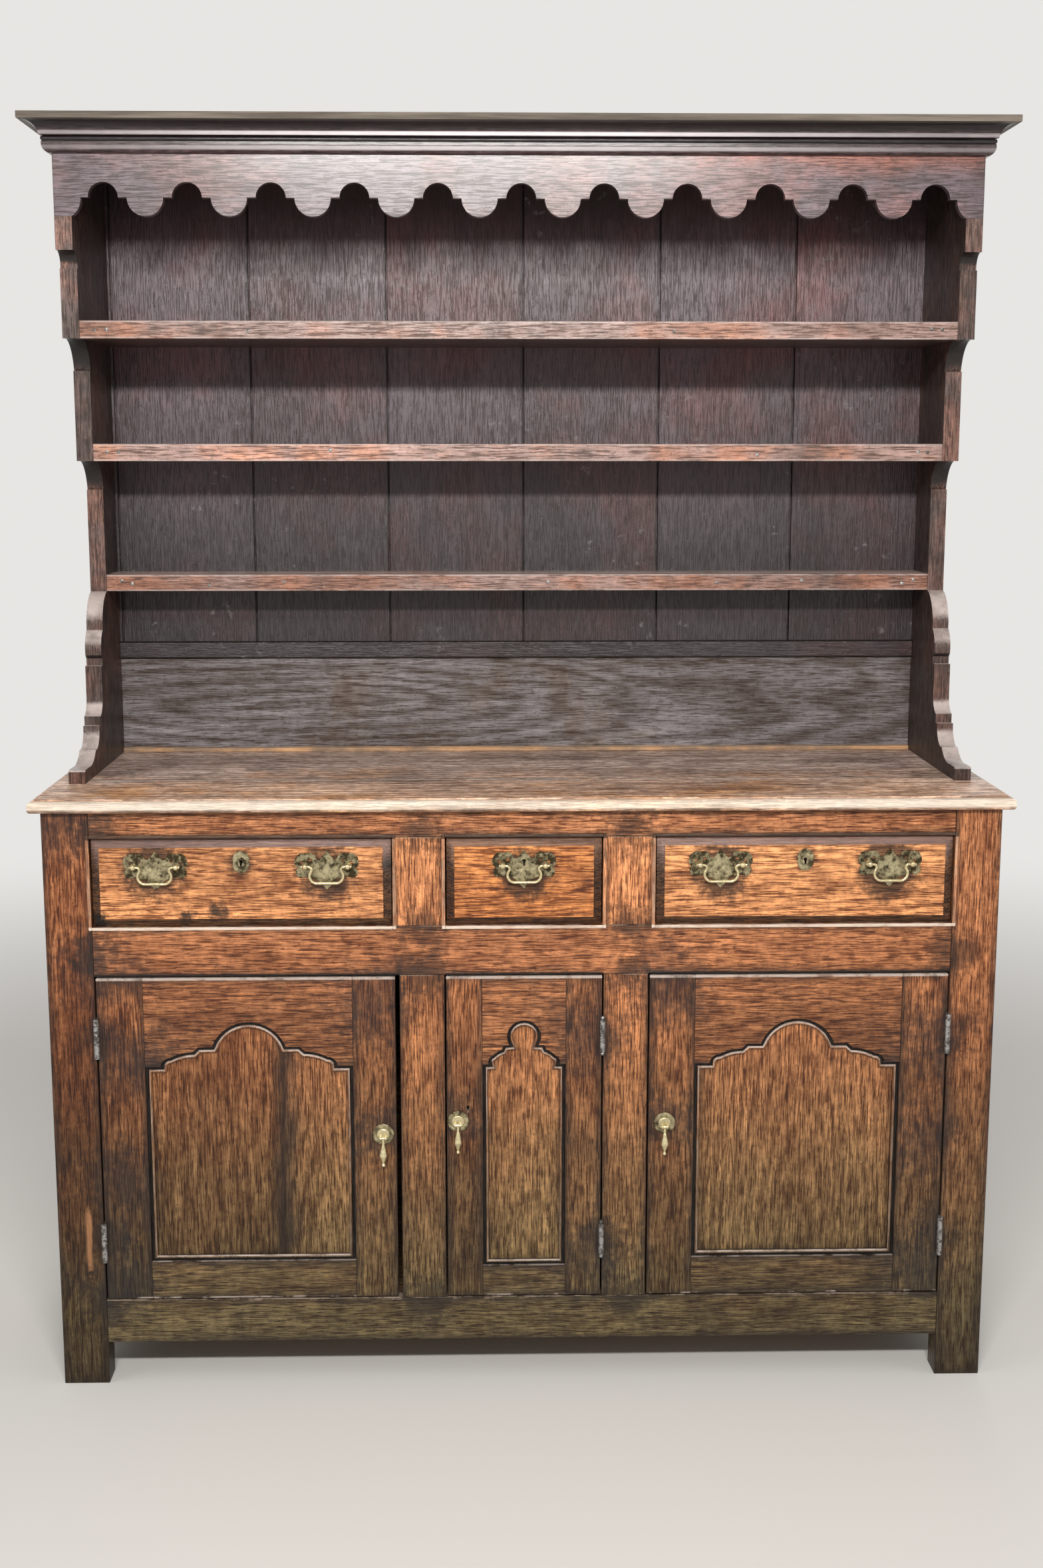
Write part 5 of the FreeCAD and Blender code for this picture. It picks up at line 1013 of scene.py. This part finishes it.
def shelf_nails(finish):
    """Heads of the nails along the edges of the shelves."""
    chance = random.Random("nails")
    places, faces = [], []
    last_ring = len(NAIL_RINGS) - 1
    for shelf, more_nails in SHELF_NAILS:
        low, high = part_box(shelf)
        for across in END_NAILS + more_nails:
            across += chance.uniform(-NAIL_STRAY_ACROSS, NAIL_STRAY_ACROSS)
            up = (low.z + high.z) / 2 + chance.uniform(-NAIL_STRAY_UP, NAIL_STRAY_UP)
            middle = Vector((across, low.y, up))
            first = len(places)
            for out, share in NAIL_RINGS:
                for side in range(NAIL_SIDES):
                    turn = 2 * math.pi * side / NAIL_SIDES + chance.uniform(-0.1, 0.1)
                    reach = NAIL_RADIUS * out * chance.uniform(0.9, 1.05)
                    deep = NAIL_SUNK - NAIL_RISE * share
                    places.append(middle + Vector((math.cos(turn) * reach, deep, math.sin(turn) * reach)))
            for ring in range(last_ring):
                inner, outer = first + ring * NAIL_SIDES, first + (ring + 1) * NAIL_SIDES
                for side in range(NAIL_SIDES):
                    follow = (side + 1) % NAIL_SIDES
                    faces.append((inner + side, inner + follow, outer + follow, outer + side))
            faces.append(tuple(first + last_ring * NAIL_SIDES + side for side in range(NAIL_SIDES)))
            faces.append(tuple(first + side for side in reversed(range(NAIL_SIDES))))
    soften(new_piece("shelf_nails", places, faces, finish, BODY_OF["upper_shelf"]))


def dress_everything():
    """Puts a finish on every node, and adds the beads of the doors and the nails of the shelves."""
    frames, drawers, doors, panels, beads = frame_oak(), drawer_oak(), door_oak(), panel_oak(), bead_oak()
    insides, shelves, rack_sides = inside_oak(), shelf_oak(), rack_side_oak()
    brass, iron = aged_brass(), old_iron()
    finishes = {
        "top_boards": top_oak(),
        "rack_backboards": rack_back_oak(),
        "lower_backboard": low_back_oak(),
        "rack_left_side": rack_sides,
        "rack_right_side": rack_sides,
        "frieze_board": frieze_oak(),
        "cornice": cornice_oak(),
        "drawer_beads": drawer_bead_oak(),
    }
    for node in SHELVES:
        finishes[node] = shelves
    for node in ("cupboard_floor", "drawer_runners", "base_backboards", "rack_roof"):
        finishes[node] = insides
    for side in SIDES:
        finishes[side + "_drawer_front"] = drawers
        finishes[side + "_drawer_box"] = insides
        finishes[side + "_door_stiles"] = doors
        finishes[side + "_door_rails"] = doors
        finishes[side + "_door_panel"] = panels
        panel_bead(side, beads, SLIM_BEAD_WIDTH if side == "middle" else BEAD_WIDTH)
    shelf_nails(iron)
    for node in sorted(frame["nodes"]):
        slot = SLOT_OF[node]
        if slot == "brass":
            metal_piece(node, brass)
        elif slot == "iron":
            metal_piece(node, iron)
        else:
            wood_piece(node, finishes.get(node, frames))


def studio_sky():
    """A soft white sky. Seen by the camera or in a shine, it has the colour of the backdrop."""
    world = bpy.data.worlds.new("studio")
    bpy.context.scene.world = world
    sky = Recipe(world)
    rays = ("Is Camera Ray", "Is Glossy Ray", "Is Transmission Ray")
    camera, shine, through = [sky.node("ShaderNodeLightPath", output=ray) for ray in rays]
    soft = sky.node("ShaderNodeBackground", values={"Color": SKY, "Strength": SKY_STRENGTH})
    backdrop = sky.node("ShaderNodeBackground", values={"Color": BACKDROP})
    seen = camera.high(shine).high(through)
    shader = sky.node("ShaderNodeMixShader", values={0: seen, 1: soft, 2: backdrop})
    sky.node("ShaderNodeOutputWorld", values={"Surface": shader})


def pale_floor():
    """A round pale floor that fades into the backdrop."""
    pale = Finish("pale_floor")
    far = pale.step(pale.length(pale.spot), *FLOOR_FADE)
    matt = pale.node("ShaderNodeBsdfDiffuse", values={"Color": FLOOR})
    glow = pale.node("ShaderNodeEmission", values={"Color": BACKDROP})
    pale.shown_by(pale.node("ShaderNodeMixShader", values={0: far, 1: matt, 2: glow}))
    places, faces = [(0.0, 0.0, 0.0)], []
    for radius in FLOOR_RINGS:
        for side in range(FLOOR_SIDES):
            turn = 2 * math.pi * side / FLOOR_SIDES
            places.append((radius * math.cos(turn), radius * math.sin(turn), 0.0))
    for side in range(FLOOR_SIDES):
        follow = (side + 1) % FLOOR_SIDES
        faces.append((0, 1 + side, 1 + follow))
        for ring in range(len(FLOOR_RINGS) - 1):
            inner, outer = 1 + ring * FLOOR_SIDES, 1 + (ring + 1) * FLOOR_SIDES
            faces.append((inner + side, outer + side, outer + follow, inner + follow))
    mesh = bpy.data.meshes.new("floor")
    mesh.from_pydata(places, [], faces)
    mesh.materials.append(pale.material)
    floor = bpy.data.objects.new("floor", mesh)
    bpy.context.scene.collection.objects.link(floor)


def studio_lamps():
    """A long lamp over the camera, two weak ones at the sides and one behind."""
    for name, place, width, height, watts in LAMPS:
        lamp = bpy.data.lights.new(name, "AREA")
        lamp.shape = "RECTANGLE"
        lamp.size, lamp.size_y, lamp.energy = width, height, watts
        lamp.color = LAMP_COLOUR
        holder = bpy.data.objects.new(name, lamp)
        holder.location = place
        holder.rotation_euler = (LAMP_AIM - Vector(place)).to_track_quat("-Z", "Y").to_euler()
        bpy.context.scene.collection.objects.link(holder)


def photo_camera():
    """The camera of the photograph."""
    lens = bpy.data.cameras.new("camera")
    lens.sensor_fit = "VERTICAL"
    lens.sensor_height = CAMERA_FILM
    lens.lens = CAMERA_LENS
    camera = bpy.data.objects.new("camera", lens)
    camera.location = CAMERA_PLACE
    camera.rotation_euler = (math.pi / 2 - CAMERA_PITCH, 0.0, CAMERA_YAW)
    bpy.context.scene.collection.objects.link(camera)
    bpy.context.scene.camera = camera


bpy.context.scene.view_settings.view_transform = "Standard"
dress_everything()
studio_sky()
pale_floor()
studio_lamps()
photo_camera()
